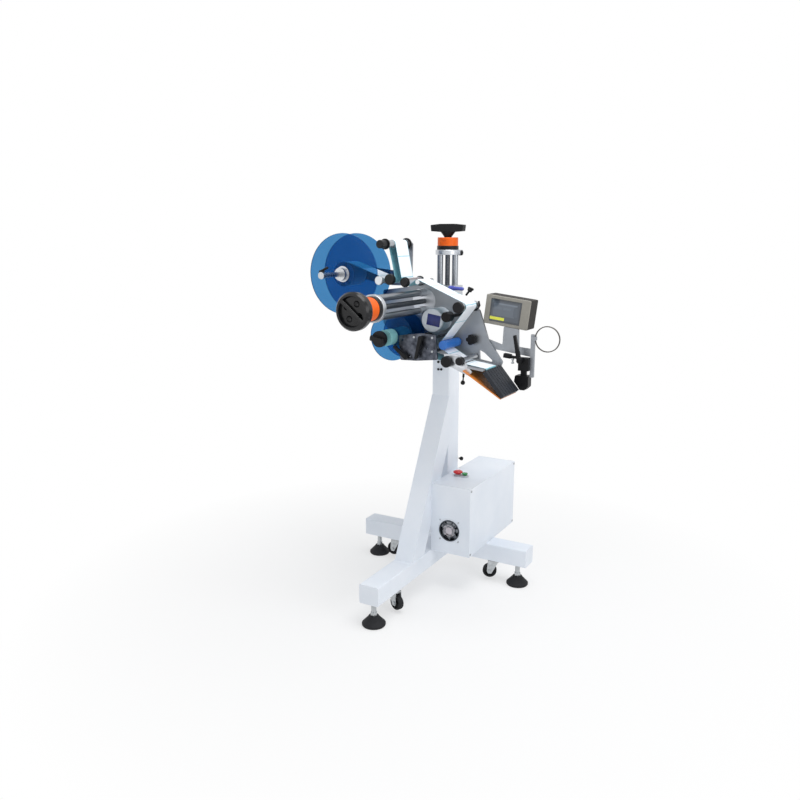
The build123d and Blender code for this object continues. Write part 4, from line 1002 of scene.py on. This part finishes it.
# %% Cap screws on the cheek plate
CAP_SCREW_PROFILE = ((4.2, 0), (4.2, 3), (2.2, 3), (2.2, 1.2))
CAP_SCREWS = ((30, 1080), (108, 1082), (40, 1004), (108, 1030))
x, near, z = in_mm("nip_bracket")
for k, (screw_x, screw_z) in enumerate(CAP_SCREWS):
    turned("cheek_screw_%d" % (k + 1), (screw_x, near, screw_z), NEAR_SIDE, CAP_SCREW_PROFILE, "head",
           zinc_plate, edge=0, sides=18)
print("cheek face at", round(near, 1))

# %% [markdown]
# ## Floor
# A studio floor is a plain pale sheet with no line where it meets the wall. A curved
# backdrop would do it, but only from one side. So this floor is a wide disc whose
# finish is part matt and part plain white under the machine, which leaves a soft
# shadow at the feet, and turns wholly white further out.

# %% Floor
FLOOR_RADIUS = 14.0
FLOOR_LEVEL = -0.0005
FADE_START, FADE_END = -1.2, 1.6
bpy.ops.object.select_all(action="DESELECT")
bpy.ops.mesh.primitive_circle_add(vertices=96, radius=FLOOR_RADIUS, fill_type="NGON",
                                  location=(0, 0, FLOOR_LEVEL))
floor = bpy.context.object
floor.name = "studio_floor"
pale_floor = bpy.data.materials.new("pale_studio_floor")
pale_floor.use_nodes = True
pale_floor.node_tree.nodes.clear()
matt = add(pale_floor, "ShaderNodeBsdfDiffuse", {"Color": linear("#F2F2F2")})
white = add(pale_floor, "ShaderNodeEmission", {"Color": linear("#FFFFFF"), "Strength": 1.0})
spot = add(pale_floor, "ShaderNodeTexCoord")
reach = add(pale_floor, "ShaderNodeVectorMath", links={0: spot.outputs["Object"]},
            operation="LENGTH")
fade = add(pale_floor, "ShaderNodeMapRange", {"From Min": FADE_START, "From Max": FADE_END},
           {"Value": reach.outputs["Value"]})
blend = add(pale_floor, "ShaderNodeMixShader",
            links={0: fade.outputs["Result"], 1: matt.outputs[0], 2: white.outputs[0]})
add(pale_floor, "ShaderNodeOutputMaterial", links={"Surface": blend.outputs[0]})
floor.data.materials.append(pale_floor)
print("floor radius", FLOOR_RADIUS)

# %% [markdown]
# ## Light
# The machine stands in a white room. The world shows white to the camera, in mirrors
# and through the clear discs, and lights the rest more weakly, because a room that
# bright would bleach every finish. The lamps are large and soft: the one above makes
# the tops brightest, one at the right lights the right-hand faces, and a weak one in
# front leaves the faces towards the operator the darkest of the three.

# %% World
ROOM_LIGHT = 0.47
world = bpy.data.worlds.new("studio")
bpy.context.scene.world = world
world.use_nodes = True
world.node_tree.nodes.clear()
path = add(world, "ShaderNodeLightPath")
seen = add(world, "ShaderNodeMath",
           links={0: path.outputs["Is Camera Ray"], 1: path.outputs["Is Glossy Ray"]},
           operation="MAXIMUM")
shown = add(world, "ShaderNodeMath", links={0: seen.outputs[0], 1: path.outputs["Is Transmission Ray"]},
            operation="MAXIMUM")
dim = add(world, "ShaderNodeBackground", {"Color": linear("#F4F7FB"), "Strength": ROOM_LIGHT})
bright = add(world, "ShaderNodeBackground", {"Color": linear("#FFFFFF"), "Strength": 1.0})
sky = add(world, "ShaderNodeMixShader",
          links={0: shown.outputs[0], 1: dim.outputs[0], 2: bright.outputs[0]})
add(world, "ShaderNodeOutputWorld", links={"Surface": sky.outputs[0]})
print("world nodes:", len(world.node_tree.nodes))


# %% Lamps
def lamp(name, place, size, power, aim=(0.0, 0.0, 0.8)):
    """A large soft lamp aimed at the machine."""
    light = bpy.data.lights.new(name, "AREA")
    light.shape = "DISK"
    light.size = size
    light.energy = power
    holder = bpy.data.objects.new(name, light)
    bpy.context.scene.collection.objects.link(holder)
    holder.location = place
    toward = Vector(aim) - Vector(place)
    holder.rotation_euler = toward.to_track_quat("-Z", "Y").to_euler()


# name, place, size in metres and power in watts
LAMPS = (
    ("top_lamp", (0.9, -0.3, 3.7), 2.4, 74),
    ("right_lamp", (3.6, -1.0, 1.9), 2.0, 27),
    ("front_lamp", (-1.4, -3.4, 1.9), 2.0, 12),
)
for row in LAMPS:
    lamp(*row)
print("lamps:", len(LAMPS))

# %% [markdown]
# ## Camera
# The camera stands where an operator would, to the right of the front foot and at eye
# height, and looks a little down. A target to track would be easier to set, but it gives
# no exact roll or aim, so the camera gets its own axes from a right and a forward
# direction.

# %% Camera
EYE = (1441.1, -2942.9, 1450)
bpy.context.scene.view_settings.view_transform = "Standard"
camera_data = bpy.data.cameras.new("camera")
camera_data.sensor_width = 36.0
camera_data.lens = 35.06
camera_data.shift_x = 0.004
camera_data.shift_y = 0.011
camera = bpy.data.objects.new("camera", camera_data)
bpy.context.scene.collection.objects.link(camera)
right = Vector((0.8669, 0.4985, 0.0)).normalized()
ahead = Vector((-0.4868, 0.8466, -0.2151)).normalized()
up = right.cross(ahead)
view = Matrix((right, up, -ahead)).transposed().to_4x4()
camera.matrix_world = Matrix.Translation(at(*EYE)) @ view
bpy.context.scene.camera = camera
print("camera at", [round(v, 3) for v in at(*EYE)])
